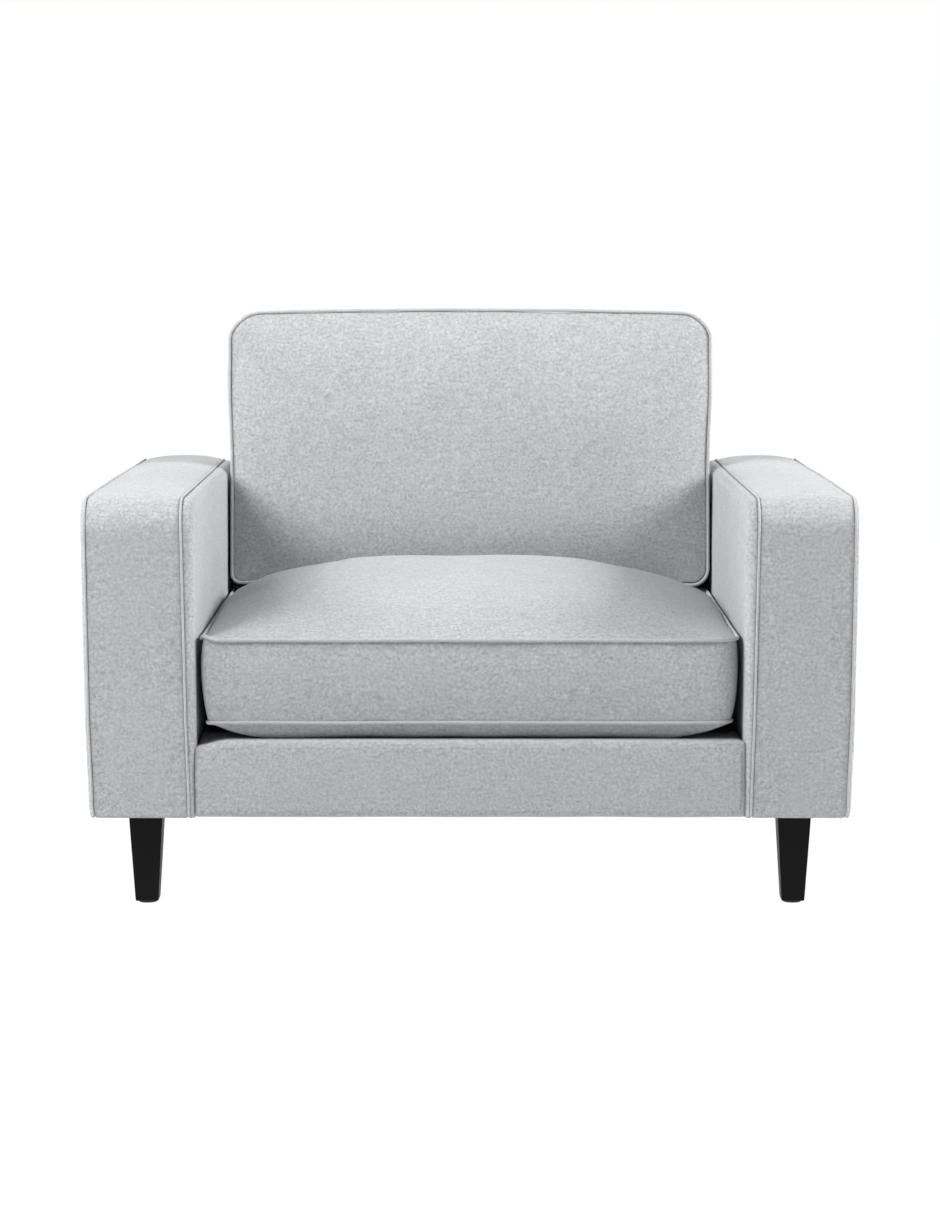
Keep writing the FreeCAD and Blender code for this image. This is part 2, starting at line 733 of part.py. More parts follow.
def rear_y(depth, level):
    """Y of the outside back at a height, that depth in front of its cover."""
    slope = "(overall_depth / 2 - arm_rear) / (back_top - leg_height)"
    return f"arm_rear + (({level}) - leg_height) * {slope} - ({depth})"


def back_section(face, rear, low, high):
    """Section of the back between its leaning face and its rear."""
    return [
        (face_y(face, low), low), (rear_y(rear, low), low),
        (rear_y(rear, high), high), (face_y(face, high), high),
    ]


def leaning_bar(face, depth, low, high):
    """Section of a bar of even depth that lies along the leaning face."""
    rear = f"({face}) + ({depth})"
    return [
        (face_y(face, low), low), (face_y(rear, low), low),
        (face_y(rear, high), high), (face_y(face, high), high),
    ]


def back_shell(label, face, rear, side, top, wall_face, wall_side, wall_top):
    """Layer over the face, sides and top of the back, open at its rear and foot."""
    low, wide = "deck_low", (f"-({side})", side)
    body = prism(label, "YZ", back_section(face, rear, low, top), wide)
    inside = back_section(f"({face}) + ({wall_face})", "-20", f"{low} - 20", f"({top}) - ({wall_top})")
    room = (f"-(({side}) - ({wall_side}))", f"({side}) - ({wall_side})")
    add_pocket(body, f"{label}_inside", "YZ", [inside], room)
    return keep(body, label)


def back_timber():
    top = "back_top - back_face"
    posts = []
    for side in SIDES:
        limits = span(side, "post_in", "post_out")
        section = back_section("back_face", "rear_wall", "rail_top", top)
        posts.append(prism(f"{side}_post", "YZ", section, limits))
    group("back_posts", posts)
    inside = ("-post_in", "post_in")
    face = "back_face + strap_thickness"
    bars = {
        "back_top_rail": (f"{top} - back_rail_height", top),
        "back_lower_rail": ("deck_top + 12", "deck_top + 12 + back_rail_height"),
    }
    for label, (low, high) in bars.items():
        keep(prism(f"{label}_bar", "YZ", leaning_bar(face, "board_thickness", low, high), inside), label)
    rear = "frame_rear"
    foot_y = (f"{rear} - board_thickness", rear)
    foot = box("foot_rail", ("-side_rail_x", "side_rail_x"), foot_y, ("rail_low", "rail_top"))
    keep(foot, "back_foot_rail")
    gussets = []
    for side in SIDES:
        limits = span(side, "side_rail_x - gusset_ply", "side_rail_x")
        y = ("spring_rail_y + board_thickness + 1", f"{rear} - board_thickness - 1")
        gussets.append(box(f"{side}_gusset", limits, y, ("rail_low + 10", "rail_top + 40")))
    group("back_gussets", gussets)


def back_webbing():
    """Elastic straps from the lower rail to the top rail, on their front faces."""
    straps = []
    for i in range(STRAPS):
        x = f"({i / (STRAPS - 1) * 2 - 1}) * (post_in - strap_edge)"
        limits = (f"{x} - strap_width / 2", f"{x} + strap_width / 2")
        bar = leaning_bar("back_face", "strap_thickness", "deck_top + 14", "back_top - back_face - 2")
        straps.append(prism(f"strap_{i}", "YZ", bar, limits))
    group("back_webbing", straps)


def build_back():
    back_timber()
    back_webbing()
    walls = ("back_foam", "back_side_foam", "back_foam")
    inner_top = "back_top - cover_thickness"
    back_shell("back_pad", "cover_thickness", "rear_wall", "back_x - cover_thickness", inner_top, *walls)
    thin = ["cover_thickness"] * 3
    back_shell("back_cover", "0", "cover_thickness", "back_x", "back_top", *thin)
    for label, outer, wall, inset in (
        ("outside_back_panel", "cover_thickness", "rear_panel", "cover_thickness + 0.5"),
        ("outside_back_cover", "0", "cover_thickness", "0"),
    ):
        inner, low, high = f"({outer}) + ({wall})", "rail_low", f"back_top - ({inset})"
        corners = [
            (rear_y(inner, low), low),
            (rear_y(outer, low), low),
            (rear_y(outer, high), high),
            (rear_y(inner, high), high),
        ]
        half = f"back_x - ({inset})"
        keep(prism(f"{label}_sheet", "YZ", corners, (f"-({half})", half)), label)


# --- seat cushion -------------------------------------------------------------------------


def rounded(u, v, corner):
    """Rounded rectangle between u and v limits; corner is one radius, or (lower, upper)."""
    low, high = corner if isinstance(corner, tuple) else (corner, corner)
    return [
        (f"{u[0]} + {low}", v[0]),
        (f"{u[1]} - ({low})", v[0], 1, low),
        (u[1], f"{v[0]} + {low}"),
        (u[1], f"{v[1]} - ({high})", 1, high),
        (f"{u[1]} - ({high})", v[1]),
        (f"{u[0]} + {high}", v[1], 1, high),
        (u[0], f"{v[1]} - ({high})"),
        (u[0], f"{v[0]} + {low}", 1, low),
    ]


def crown_radius(run, rise):
    """Radius of an arc over a chord, from its half chord and its rise."""
    return f"((({run}) ^ 2 + ({rise}) ^ 2) / (2 * ({rise})))"


def seat_form(name, inset):
    """Crowned seat cushion body, every face drawn in by an inset."""
    x, y0, y1 = f"(cushion_x - {inset})", f"(seat_y0 + {inset})", f"(seat_y1 - {inset})"
    low, top = f"(seat_low + {inset})", f"(seat_top_welt - {inset})"
    welt, roof = f"(seat_welt + {inset})", "(seat_top_welt + seat_crown + 20)"
    plan = rounded((f"-{x}", x), (y0, y1), f"(seat_corner - {inset})")
    body = prism(name, "XY", plan, (f"seat_low - 10 + {inset}", roof))
    run = "seat_belly_run"
    front_belly = [
        (f"-{x} - 20", f"{low} - 20"),
        (f"{x} + 20", f"{low} - 20"),
        (f"{x} + 20", welt),
        (x, welt),
        (f"{x} - {run}", low),
        (f"-{x} + {run}", low),
        (f"-{x}", welt),
        (f"-{x} - 20", welt),
    ]
    front_crown = [
        (f"-{x} - 20", top),
        (f"-{x}", top, -1, crown_radius(x, "seat_crown")),
        (x, top),
        (f"{x} + 20", top),
        (f"{x} + 20", f"{roof} + 5"),
        (f"-{x} - 20", f"{roof} + 5"),
    ]
    add_pocket(body, f"{name}_front", "XZ", [front_belly, front_crown], (f"{y0} - 20", f"{y1} + 20"))
    side_belly = [
        (f"{y0} - 20", f"{low} - 20"),
        (f"{y1} + 20", f"{low} - 20"),
        (f"{y1} + 20", welt),
        (y1, welt),
        (f"{y1} - {run}", low),
        (f"{y0} + {run}", low),
        (y0, welt),
        (f"{y0} - 20", welt),
    ]
    dip_z = f"{top} + seat_dip_rise"
    half_chord = f"((seat_dip_y - {y0}) / 2)"
    side_crown = [
        (f"{y0} - 20", top),
        (y0, top, -1, crown_radius(half_chord, "(seat_crown - seat_dip_rise / 2)")),
        ("seat_dip_y", dip_z),
        (y1, top),
        (f"{y1} + 20", top),
        (f"{y1} + 20", f"{roof} + 5"),
        (f"{y0} - 20", f"{roof} + 5"),
    ]
    add_pocket(body, f"{name}_side", "YZ", [side_belly, side_crown], (f"-{x} - 20", f"{x} + 20"))
    return body


def ring_route(u, v, corner):
    """Closed route of a cord round a rounded rectangle, from the middle of its lower edge."""
    corners = rounded(u, v, corner)
    return [("0", v[0])] + corners[1:] + [corners[0]]


def piping_rings(label, rings, leaning=False):
    """One node of cords that run round a cushion; each ring is (plane, level, u, v, corner)."""
    cords = []
    for i, (plane, level, u, v, corner) in enumerate(rings):
        across, up = (v[0], level) if plane == "XY" else (f"-({level})", v[0])
        route = ring_route(u, v, corner)
        body = cord(f"{label}_ring_{i}", plane, level, route, "YZ", "0", (across, up), True)
        cords.append(lean(body) if leaning else body)
    group(label, cords)


def cushion_pieces(prefix, form, leaning):
    """Cover, hollow inside, and the filling that it holds."""
    bodies = [
        form(f"{prefix}_outside", "0"),
        form(f"{prefix}_inside", "cover_thickness"),
        form(f"{prefix}_filling", "(cover_thickness + fill_gap)"),
    ]
    if leaning:
        for body in bodies:
            lean(body)
    keep(cut(f"{prefix}_shell", bodies[0], bodies[1]), f"{prefix}_cover")
    keep(bodies[2], f"{prefix}_core")


def seat_cushion():
    cushion_pieces("seat_cushion", seat_form, False)
    half = "channel / 2"
    u = (f"-(cushion_x + {half})", f"cushion_x + {half}")
    v = (f"seat_y0 - {half}", f"seat_y1 + {half}")
    corner = f"(seat_corner + {half})"
    rings = [("XY", level, u, v, corner) for level in ("seat_welt", "seat_top_welt")]
    piping_rings("seat_cushion_piping", rings)


def zip_slider(name, x, y, z, pull_y, pull_z, bridge_y, bridge_z):
    """Slider body and hanging pull, joined by a bridge."""
    across = (f"{x} - slider_length / 2", f"{x} + slider_length / 2")
    narrow = (f"{x} - slider_width / 4", f"{x} + slider_width / 4")
    bridge = box(f"{name}_bridge", narrow, bridge_y, bridge_z)
    head = fuse(f"{name}_head", box(f"{name}_body", across, y, z), bridge)
    return fuse(name, head, box(f"{name}_pull", narrow, pull_y, pull_z))


def seat_zip():
    """Zip across the middle of the seat cushion's rear boxing, and its slider."""
    level = "(seat_welt + seat_boxing / 2)"
    skin = "seat_y1 + zip_stand_off"
    tape_y = (skin, f"{skin} + zip_tape")
    coil_y = (tape_y[1], f"{tape_y[1]} + zip_coil")
    wide = ("-zip_half", "zip_half")
    tape = box("seat_tape", wide, tape_y, (f"{level} - zip_width / 2", f"{level} + zip_width / 2"))
    coil_z = (f"{level} - zip_coil_width / 2", f"{level} + zip_coil_width / 2")
    keep(fuse("seat_zip_tape", tape, box("seat_coil", wide, coil_y, coil_z)), "seat_zip")
    low = f"{coil_y[1]} + zip_stand_off"
    body_y = (low, f"{low} + slider_height")
    pull_y = (f"{body_y[1]} + 0.6", f"{body_y[1]} + 0.6 + pull_thickness")
    body_z = (f"{level} - slider_width / 2", f"{level} + slider_width / 2")
    pull_z = (f"{level} - pull_length", level)
    slider = zip_slider(
        "seat_slider", "(-zip_half + zip_stop)", body_y, body_z, pull_y, pull_z,
        (body_y[1], pull_y[0]), (f"{level} - 3", level),
    )
    keep(slider, "seat_zip_slider")


# --- back cushion -------------------------------------------------------------------------


def back_form(name, inset):
    """Crowned back cushion body in the leaning frame, every face drawn in by an inset."""
    x, w0, w1 = f"(cushion_x - {inset})", f"(cushion_w0 + {inset})", f"(cushion_w1 - {inset})"
    rear, edge = f"(-back_cushion_rest - {inset})", f"(-back_cushion_edge + {inset})"
    far = "(-back_cushion_edge - back_cushion_crown - 20)"
    radii = (f"(back_cushion_low_corner - {inset})", f"(back_cushion_top_corner - {inset})")
    body = prism(name, "XZ", rounded((f"-{x}", x), (w0, w1), radii), (far, rear))
    side = [
        (f"{far} - 5", f"{w0} - 20"),
        (edge, f"{w0} - 20"),
        (edge, w0, -1, crown_radius(f"({w1} - {w0}) / 2", "back_cushion_crown")),
        (edge, w1),
        (edge, f"{w1} + 20"),
        (f"{far} - 5", f"{w1} + 20"),
    ]
    add_pocket(body, f"{name}_side", "YZ", [side], (f"-{x} - 20", f"{x} + 20"))
    plan = [
        (f"-{x} - 20", f"{far} - 5"),
        (f"{x} + 20", f"{far} - 5"),
        (f"{x} + 20", edge),
        (x, edge, -1, crown_radius(x, "back_cushion_crown")),
        (f"-{x}", edge),
        (f"-{x} - 20", edge),
    ]
    add_pocket(body, f"{name}_plan", "XY", [plan], (f"{w0} - 20", f"{w1} + 20"))
    return body


def back_cushion():
    cushion_pieces("back_cushion", back_form, True)
    half = "channel / 2"
    u = (f"-(cushion_x + {half})", f"cushion_x + {half}")
    w = (f"cushion_w0 - {half}", f"cushion_w1 + {half}")
    radii = (f"(back_cushion_low_corner + {half})", f"(back_cushion_top_corner + {half})")
    levels = ("back_cushion_edge", f"back_cushion_rest + {half}")
    piping_rings("back_cushion_piping", [("XZ", level, u, w, radii) for level in levels], leaning=True)


def back_zip():
    """Zip across the underside of the back cushion, and its slider, in the leaning frame."""
    middle = "(-back_cushion_edge / 2)"
    wide = ("-zip_half", "zip_half")
    tape_w = ("cushion_w0 - zip_stand_off - zip_tape", "cushion_w0 - zip_stand_off")
    coil_w = (f"{tape_w[0]} - zip_coil", tape_w[0])
    tape = box("back_tape", wide, (f"{middle} - zip_width / 2", f"{middle} + zip_width / 2"), tape_w)
    coil_v = (f"{middle} - zip_coil_width / 2", f"{middle} + zip_coil_width / 2")
    keep(fuse("back_zip_tape", tape, box("back_coil", wide, coil_v, coil_w)), "back_zip")
    high = f"{coil_w[0]} - zip_stand_off"
    body_w = (f"{high} - slider_height", high)
    pull_w = (f"{body_w[0]} - 0.6 - pull_thickness", f"{body_w[0]} - 0.6")
    body_v = (f"{middle} - slider_width / 2", f"{middle} + slider_width / 2")
    pull_v = (middle, f"{middle} + pull_length")
    slider = zip_slider(
        "back_slider", "(-zip_half + zip_stop)", body_v, body_w, pull_v, pull_w,
        (middle, f"{middle} + 3"), (pull_w[1], body_w[0]),
    )
    keep(slider, "back_zip_slider")
    for label in ("back_zip", "back_zip_slider"):
        lean([item for item in nodes if item.Label == label][0])


# --- legs ---------------------------------------------------------------------------------


def leg_spots():
    """Name, X and Y of each leg."""
    return [
        (f"{end}_{side}", span(side, "leg_x", "leg_x")[0], y)
        for end, y in (("front", "leg_y0"), ("rear", "leg_y1"))
        for side in SIDES
    ]


def leg(name, x, y):
    """Square tapered leg, bored for its hanger bolt and for the glide's nail."""
    body = doc.addObject("PartDesign::Body", f"{name}_leg")
    squares = []
    for end, side, level in (("foot", "leg_foot", "glide_height"), ("head", "leg_top", "leg_height")):
        half = f"({side}) / 2"
        sketch = sketch_on(body, f"{name}_{end}", "XY", level)
        squares.append(draw(sketch, rounded((f"-{half}", half), (f"-{half}", half), "leg_corner")))
    loft = body.newObject("PartDesign::AdditiveLoft", f"{name}_taper")
    loft.Profile = squares[0]
    loft.Sections = [squares[1]]
    bore = "bolt_diameter + 2 * bolt_clearance"
    add_holes(body, f"{name}_bolt", "XY", [("0", "0")], bore, ("leg_height - leg_bolt_depth", "leg_height"))
    nail = ("glide_height", "glide_height + nail_length + 1")
    add_holes(body, f"{name}_nail", "XY", [("0", "0")], "nail_diameter + 0.2", nail)
    place(body, x, y)
    return keep(body, f"{name}_leg")


def leg_fasteners():
    """Hanger bolts, tee nuts and nail-on glides of the four legs."""
    bolts, nuts, glides = [], [], []
    board_top = "leg_height + board_thickness"
    for name, x, y in leg_spots():
        reach = ("leg_height - leg_bolt_depth + 2", f"{board_top} + 3")
        bolts.append(rod(f"{name}_hanger_bolt", "Z", reach, (x, y), "bolt_diameter"))
        barrel = ("leg_height + 8", board_top)
        nuts.append(tee_nut(f"{name}_leg_nut", "Z", barrel, (board_top, f"{board_top} + tee_plate"), (x, y)))
        disc = rod(f"{name}_glide_disc", "Z", ("0", "glide_height"), (x, y), "glide_diameter")
        pin = ("glide_height", "glide_height + nail_length")
        nail = rod(f"{name}_nail_pin", "Z", pin, (x, y), "nail_diameter")
        glides.append(fuse(f"{name}_glide", disc, nail))
    group("leg_hanger_bolts", bolts)
    group("leg_tee_nuts", nuts)
    group("leg_glides", glides)


def build_legs():
    for name, x, y in leg_spots():
        leg(name, x, y)
    leg_fasteners()


def check_and_export():
    """Stop on any failed object or bad shape, then write one STEP file for each sub-part."""
    doc.recompute()
    failed = [item.Label for item in doc.Objects if {"Invalid", "Error"} & set(item.State)]
    empty = [item.Label for item in nodes if item.Shape.isNull() or not item.Shape.isValid()]
    if failed or empty:
        raise RuntimeError(f"failed objects {failed}, bad shapes {empty}")
    os.makedirs("parts", exist_ok=True)
    for item in nodes:
        item.Shape.exportStep(f"parts/{item.Label}.step")
        box = item.Shape.BoundBox
        limits = [round(v, 1) for v in (box.XMin, box.XMax, box.YMin, box.YMax, box.ZMin, box.ZMax)]
        volume = item.Shape.Volume / 1e3
        print(f"{item.Label:24s} solids {len(item.Shape.Solids):2d} volume {volume:10.1f} cm3 {limits}")
    print(len(nodes), "sub-parts")


fill_sheet()
build_arms()
build_base()
build_back()
seat_cushion()
seat_zip()
back_cushion()
back_zip()
build_legs()
check_and_export()
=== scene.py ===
"""Dresses the upholstered armchair: covers, cushions, piping, zips, legs and finishes."""

import logging
import math
from dataclasses import dataclass
from enum import Enum
from typing import Callable, Sequence

import bpy
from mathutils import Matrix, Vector, noise


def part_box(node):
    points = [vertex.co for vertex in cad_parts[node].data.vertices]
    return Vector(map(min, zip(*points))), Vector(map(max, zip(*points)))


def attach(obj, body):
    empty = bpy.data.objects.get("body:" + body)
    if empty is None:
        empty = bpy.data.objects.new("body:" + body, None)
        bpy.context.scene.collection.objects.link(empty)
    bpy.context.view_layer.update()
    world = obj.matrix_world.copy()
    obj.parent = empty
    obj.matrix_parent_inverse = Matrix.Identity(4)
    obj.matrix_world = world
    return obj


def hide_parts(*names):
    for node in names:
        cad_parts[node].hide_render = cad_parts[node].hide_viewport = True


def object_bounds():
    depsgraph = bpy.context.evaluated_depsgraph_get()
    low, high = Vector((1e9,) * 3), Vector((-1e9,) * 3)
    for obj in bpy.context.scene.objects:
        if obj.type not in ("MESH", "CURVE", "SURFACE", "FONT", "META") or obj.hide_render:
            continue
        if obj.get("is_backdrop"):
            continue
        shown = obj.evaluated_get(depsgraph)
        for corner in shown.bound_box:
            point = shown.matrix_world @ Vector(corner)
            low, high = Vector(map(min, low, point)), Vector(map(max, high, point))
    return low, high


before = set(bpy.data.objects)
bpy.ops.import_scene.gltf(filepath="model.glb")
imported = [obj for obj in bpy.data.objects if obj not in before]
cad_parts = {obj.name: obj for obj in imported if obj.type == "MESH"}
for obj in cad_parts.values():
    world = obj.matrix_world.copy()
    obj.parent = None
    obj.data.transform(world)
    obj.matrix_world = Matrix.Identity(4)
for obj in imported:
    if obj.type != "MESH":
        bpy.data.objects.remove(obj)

CAD_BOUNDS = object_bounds()
LOG = logging.getLogger("armchair")
MM = 0.001
RAKE = math.radians(7)  # lean of the back and its cushion
LEAN_FOOT = (0.294, 0.238)  # y and z of the leaning frame's origin
ZIP_HALF = 0.309
GROOVE = 1.0 * MM  # depth of a cushion's seam
FRAMES = 20  # length of the filling's simulation
FILLING = {
    "quality": 5, "use_pressure": True, "tension_stiffness": 15, "compression_stiffness": 15,
    "shear_stiffness": 6, "bending_stiffness": 0.4,
}

Place = Callable[[float, float, float], Vector]
Height = Callable[[float, float], float]
Table = Sequence[tuple[float, float]]
Span = tuple[float, float]


# --- small sums ---------------------------------------------------------------------------


def smooth(t: float) -> float:
    """Eases a share from 0 to 1.

    Args:
        t: Share, clamped to 0 to 1.

    Returns:
        The eased share.
    """
    t = min(max(t, 0.0), 1.0)
    return t * t * (3 - 2 * t)


def eased(at: float, span: Span) -> float:
    """Eases from 0 at the start of a span to 1 at its end.

    Args:
        at: Position.
        span: Start and end, in either order.

    Returns:
        The eased share.
    """
    return smooth((at - span[0]) / (span[1] - span[0]))


def between(table: Table, at: float) -> float:
    """Reads a value from a table, straight between its rows.

    Args:
        table: Rows of position and value, in rising order.
        at: Position to read.

    Returns:
        The value there.
    """
    if at <= table[0][0]:
        return table[0][1]
    for (a, low), (b, high) in zip(table, table[1:]):
        if at <= b:
            return low + (high - low) * (at - a) / (b - a)
    return table[-1][1]


def drift(point: Vector, size: float, seed: float) -> float:
    """Gives a slow unevenness, the same on every run.

    Args:
        point: Place on the piece, in metres.
        size: Width of one swell, in metres.
        seed: Offset that gives each piece its own swells.

    Returns:
        A number from about -1 to 1.
    """
    return noise.noise(point / size + Vector((seed, seed * 1.7, -seed)))


# --- shader wrapper -----------------------------------------------------------------------


class Socket:
    """Output of a shader node, whose arithmetic adds the nodes that it needs."""

    def __init__(self, shade: "Shade", out: bpy.types.NodeSocket) -> None:
        """Keeps the material and the socket."""
        self.shade = shade
        self.out = out

    def _math(self, operation: str, a: "Socket | float", b: "Socket | float") -> "Socket":
        """Adds one Math node and returns its output."""
        return self.shade.node("ShaderNodeMath", {"operation": operation}, {0: a, 1: b})

    def __add__(self, other: "Socket | float") -> "Socket":
        """Adds."""
        return self._math("ADD", self, other)

    def __sub__(self, other: "Socket | float") -> "Socket":
        """Subtracts."""
        return self._math("SUBTRACT", self, other)

    def __rsub__(self, other: float) -> "Socket":
        """Subtracts from a number."""
        return self._math("SUBTRACT", other, self)

    def __mul__(self, other: "Socket | float") -> "Socket":
        """Multiplies."""
        return self._math("MULTIPLY", self, other)

    def __truediv__(self, other: "Socket | float") -> "Socket":
        """Divides."""
        return self._math("DIVIDE", self, other)

    def __pow__(self, other: float) -> "Socket":
        """Raises to a power."""
        return self._math("POWER", self, other)

    def size(self) -> "Socket":
        """Drops the sign."""
        return self._math("ABSOLUTE", self, 0.0)

    __radd__ = __add__
    __rmul__ = __mul__


Value = Socket | float | tuple


class Shade:
    """Node tree of one material."""

    def __init__(self, name: str) -> None:
        """Starts an empty material with its surface shader.

        Args:
            name: Name of the material.
        """
        self.material = bpy.data.materials.new(name)
        self.material.use_nodes = True
        self.tree = self.material.node_tree
        self.tree.nodes.clear()
        self.surface = self.tree.nodes.new("ShaderNodeBsdfPrincipled")
        end = self.tree.nodes.new("ShaderNodeOutputMaterial")
        self.tree.links.new(self.surface.outputs[0], end.inputs[0])

    def node(
        self, kind: str, settings: dict | None = None, inputs: dict | None = None, out: int | str = 0,
    ) -> Socket:
        """Adds a node.

        Args:
            kind: Type of the node.
            settings: Its settings, or for a ramp its stops.
            inputs: Values or links of its sockets, by name or place.
            out: Output wanted.

        Returns:
            That output.
        """
        made = self.tree.nodes.new(kind)
        for key, value in (settings or {}).items():
            if key == "stops":
                ramp = made.color_ramp.elements
                while len(ramp) < len(value):
                    ramp.new(0.5)
                for stop, (at, level) in zip(ramp, value):
                    stop.position = at
                    stop.color = (level, level, level, 1)
            else:
                setattr(made, key, value)
        for key, value in (inputs or {}).items():
            self.link(made.inputs[key], value)
        return Socket(self, made.outputs[out])

    def link(self, socket: bpy.types.NodeSocket, value: Value) -> None:
        """Sets or links one input.

        Args:
            socket: The input.
            value: A number, a tuple or another node's output.
        """
        if isinstance(value, Socket):
            self.tree.links.new(value.out, socket)
        elif isinstance(value, tuple) and socket.type == "RGBA" and len(value) == 3:
            socket.default_value = (*value, 1.0)
        else:
            socket.default_value = value

    def finish(self, **values: Value) -> bpy.types.Material:
        """Sets the surface shader's sockets, whose names have spaces for underscores.

        Args:
            **values: Values or links.

        Returns:
            The material.
        """
        for key, value in values.items():
            self.link(self.surface.inputs[key.replace("_", " ")], value)
        return self.material

    def spot(self) -> Socket:
        """Gives the place on the piece, in metres."""
        return self.node("ShaderNodeTexCoord", out="Object")

    def stretch(self, scale: tuple[float, float, float]) -> Socket:
        """Gives the place on the piece, drawn out along the axes.

        Args:
            scale: Factor along each axis.

        Returns:
            The scaled place.
        """
        return self.node("ShaderNodeMapping", inputs={0: self.spot(), "Scale": scale})

    def cloud(
        self, scale: float, detail: float = 2.0, vector: Socket | None = None, rough: float = 0.5,
    ) -> Socket:
        """Adds a noise.

        Args:
            scale: Swells per metre.
            detail: Octaves.
            vector: Place to read, or the place on the piece.
            rough: Share that each octave keeps.

        Returns:
            The noise, about 0.2 to 0.8.
        """
        values = {"Vector": vector or self.spot(), "Scale": scale, "Detail": detail, "Roughness": rough}
        return self.node("ShaderNodeTexNoise", inputs=values)

    def ramp(self, value: Socket, stops: Table) -> Socket:
        """Maps a number through grey stops.

        Args:
            value: The number.
            stops: Rows of position and level.

        Returns:
            The level.
        """
        return self.node("ShaderNodeValToRGB", {"stops": stops}, {0: value})

    def blend(self, share: Value, a: Value, b: Value) -> Socket:
        """Mixes two colours.

        Args:
            share: Share of the second.
            a: First colour.
            b: Second colour.

        Returns:
            The mixed colour.
        """
        return self.node("ShaderNodeMix", {"data_type": "RGBA"}, {0: share, 6: a, 7: b}, out=2)

    def raised(self, height: Socket, depth: float, strength: float = 1.0) -> Socket:
        """Turns a height into a normal.

        Args:
            height: Height, about 0 to 1.
            depth: Metres that a height of 1 stands for.
            strength: Share of the effect.

        Returns:
            The bumped normal.
        """
        return self.node("ShaderNodeBump", inputs={"Height": height, "Distance": depth, "Strength": strength})


# --- finishes -----------------------------------------------------------------------------


def shaded(colour: tuple, factor: float) -> tuple:
    """Darkens or lightens a colour.

    Args:
        colour: Linear colour.
        factor: What each part is multiplied by.

    Returns:
        The new colour.
    """
    return tuple(min(part * factor, 1.0) for part in colour)


@dataclass(frozen=True)
class Cloth:
    """Woven cloth: threads, a flecked yarn and slow changes of tone."""

    name: str
    colour: tuple
    pitch: float = 1.5 * MM
    fleck: float = 0.42
    patch: float = 0.07
    relief: float = 0.35 * MM
    sheen: float = 0.12
    rough: float = 0.9
    dark: float = 0.55
    light: float = 1.45

    def threads(self, shade: Shade, turns: float) -> Socket:
        """Weaves a plain weave on whichever plane the surface faces.

        Args:
            shade: Material to weave in.
            turns: Angle that one pitch takes up, per metre.

        Returns:
            Height of the threads, 0 to 1.
        """
        place = shade.node("ShaderNodeSeparateXYZ", inputs={0: shade.spot()})
        normal = shade.node("ShaderNodeTexCoord", out="Normal")
        facing = shade.node("ShaderNodeSeparateXYZ", inputs={0: normal})
        waves, weights = [], []
        for axis in range(3):
            along = Socket(shade, place.out.node.outputs[axis])
            waves.append(shade.node("ShaderNodeMath", {"operation": "SINE"}, {0: along * turns}))
            weights.append(Socket(shade, facing.out.node.outputs[axis]).size() ** 3)
        total = weights[0] + weights[1] + weights[2] + 0.01
        cloth = None
        for axis in range(3):
            a, b = waves[(axis + 1) % 3], waves[(axis + 2) % 3]
            part = (a * b) * weights[axis] / total
            cloth = part if cloth is None else cloth + part
        return cloth * 0.5 + 0.5

    def make(self) -> bpy.types.Material:
        """Builds the material.

        Returns:
            The material.
        """
        shade = Shade(self.name)
        threads = self.threads(shade, math.pi / self.pitch)
        grain = shade.cloud(0.8 / self.pitch, 2.0, rough=0.75)
        fleck = shade.cloud(0.33 / self.pitch, 2.0, rough=0.6)
        slub = shade.cloud(260, 2.0, shade.stretch((0.16, 1.0, 1.0)))
        patch = shade.cloud(9, 3.0)
        tone = (grain - 0.5) * (2.4 * self.fleck) + (fleck - 0.5) * (1.3 * self.fleck)
        tone = tone + (slub - 0.5) * (0.5 * self.fleck) + (patch - 0.5) * self.patch
        share = (tone + (threads - 0.5) * (0.35 * self.fleck)) * 1.6 + 0.5
        colour = shade.blend(share, shaded(self.colour, self.dark), shaded(self.colour, self.light))
        fuzz = shade.cloud(0.6 / self.pitch, 3.0)
        height = threads * 0.45 + grain * 0.6 + fuzz * 0.35
        return shade.finish(
            Base_Color=colour,
            Roughness=self.rough - fleck * 0.12,
            Normal=shade.raised(height, self.relief),
            Sheen_Weight=self.sheen,
            Sheen_Roughness=0.5,
            Specular_IOR_Level=0.2,
        )


@dataclass(frozen=True)
class Foam:
    """Open-cell foam or needled felt: a soft mass of small pits or fibres."""

    name: str
    colour: tuple
    cell: float = 1.6 * MM

    def make(self) -> bpy.types.Material:
        """Builds the material.

        Returns:
            The material.
        """
        shade = Shade(self.name)
        cells = shade.node("ShaderNodeTexVoronoi", inputs={"Vector": shade.spot(), "Scale": 1 / self.cell})
        age = shade.cloud(7, 4.0)
        colour = shade.blend(age, shaded(self.colour, 0.8), shaded(self.colour, 1.15))
        # The pits darken towards their middles: painted shade in the pores, over the foam's own aged colour.
        painted_pit_shade = shade.blend(shade.ramp(cells, ((0.1, 0.5), (0.5, 0.0))), colour, shaded(self.colour, 0.45))
        return shade.finish(
            Base_Color=painted_pit_shade, Roughness=0.95 - age * 0.1, Normal=shade.raised(cells, self.cell / 3),
        )


class Grain(Enum):
    """Axis that the grain of a board runs along."""

    ALONG_X = (1.0, 14.0, 14.0)
    ALONG_Y = (14.0, 1.0, 14.0)
    ALONG_Z = (14.0, 14.0, 1.0)


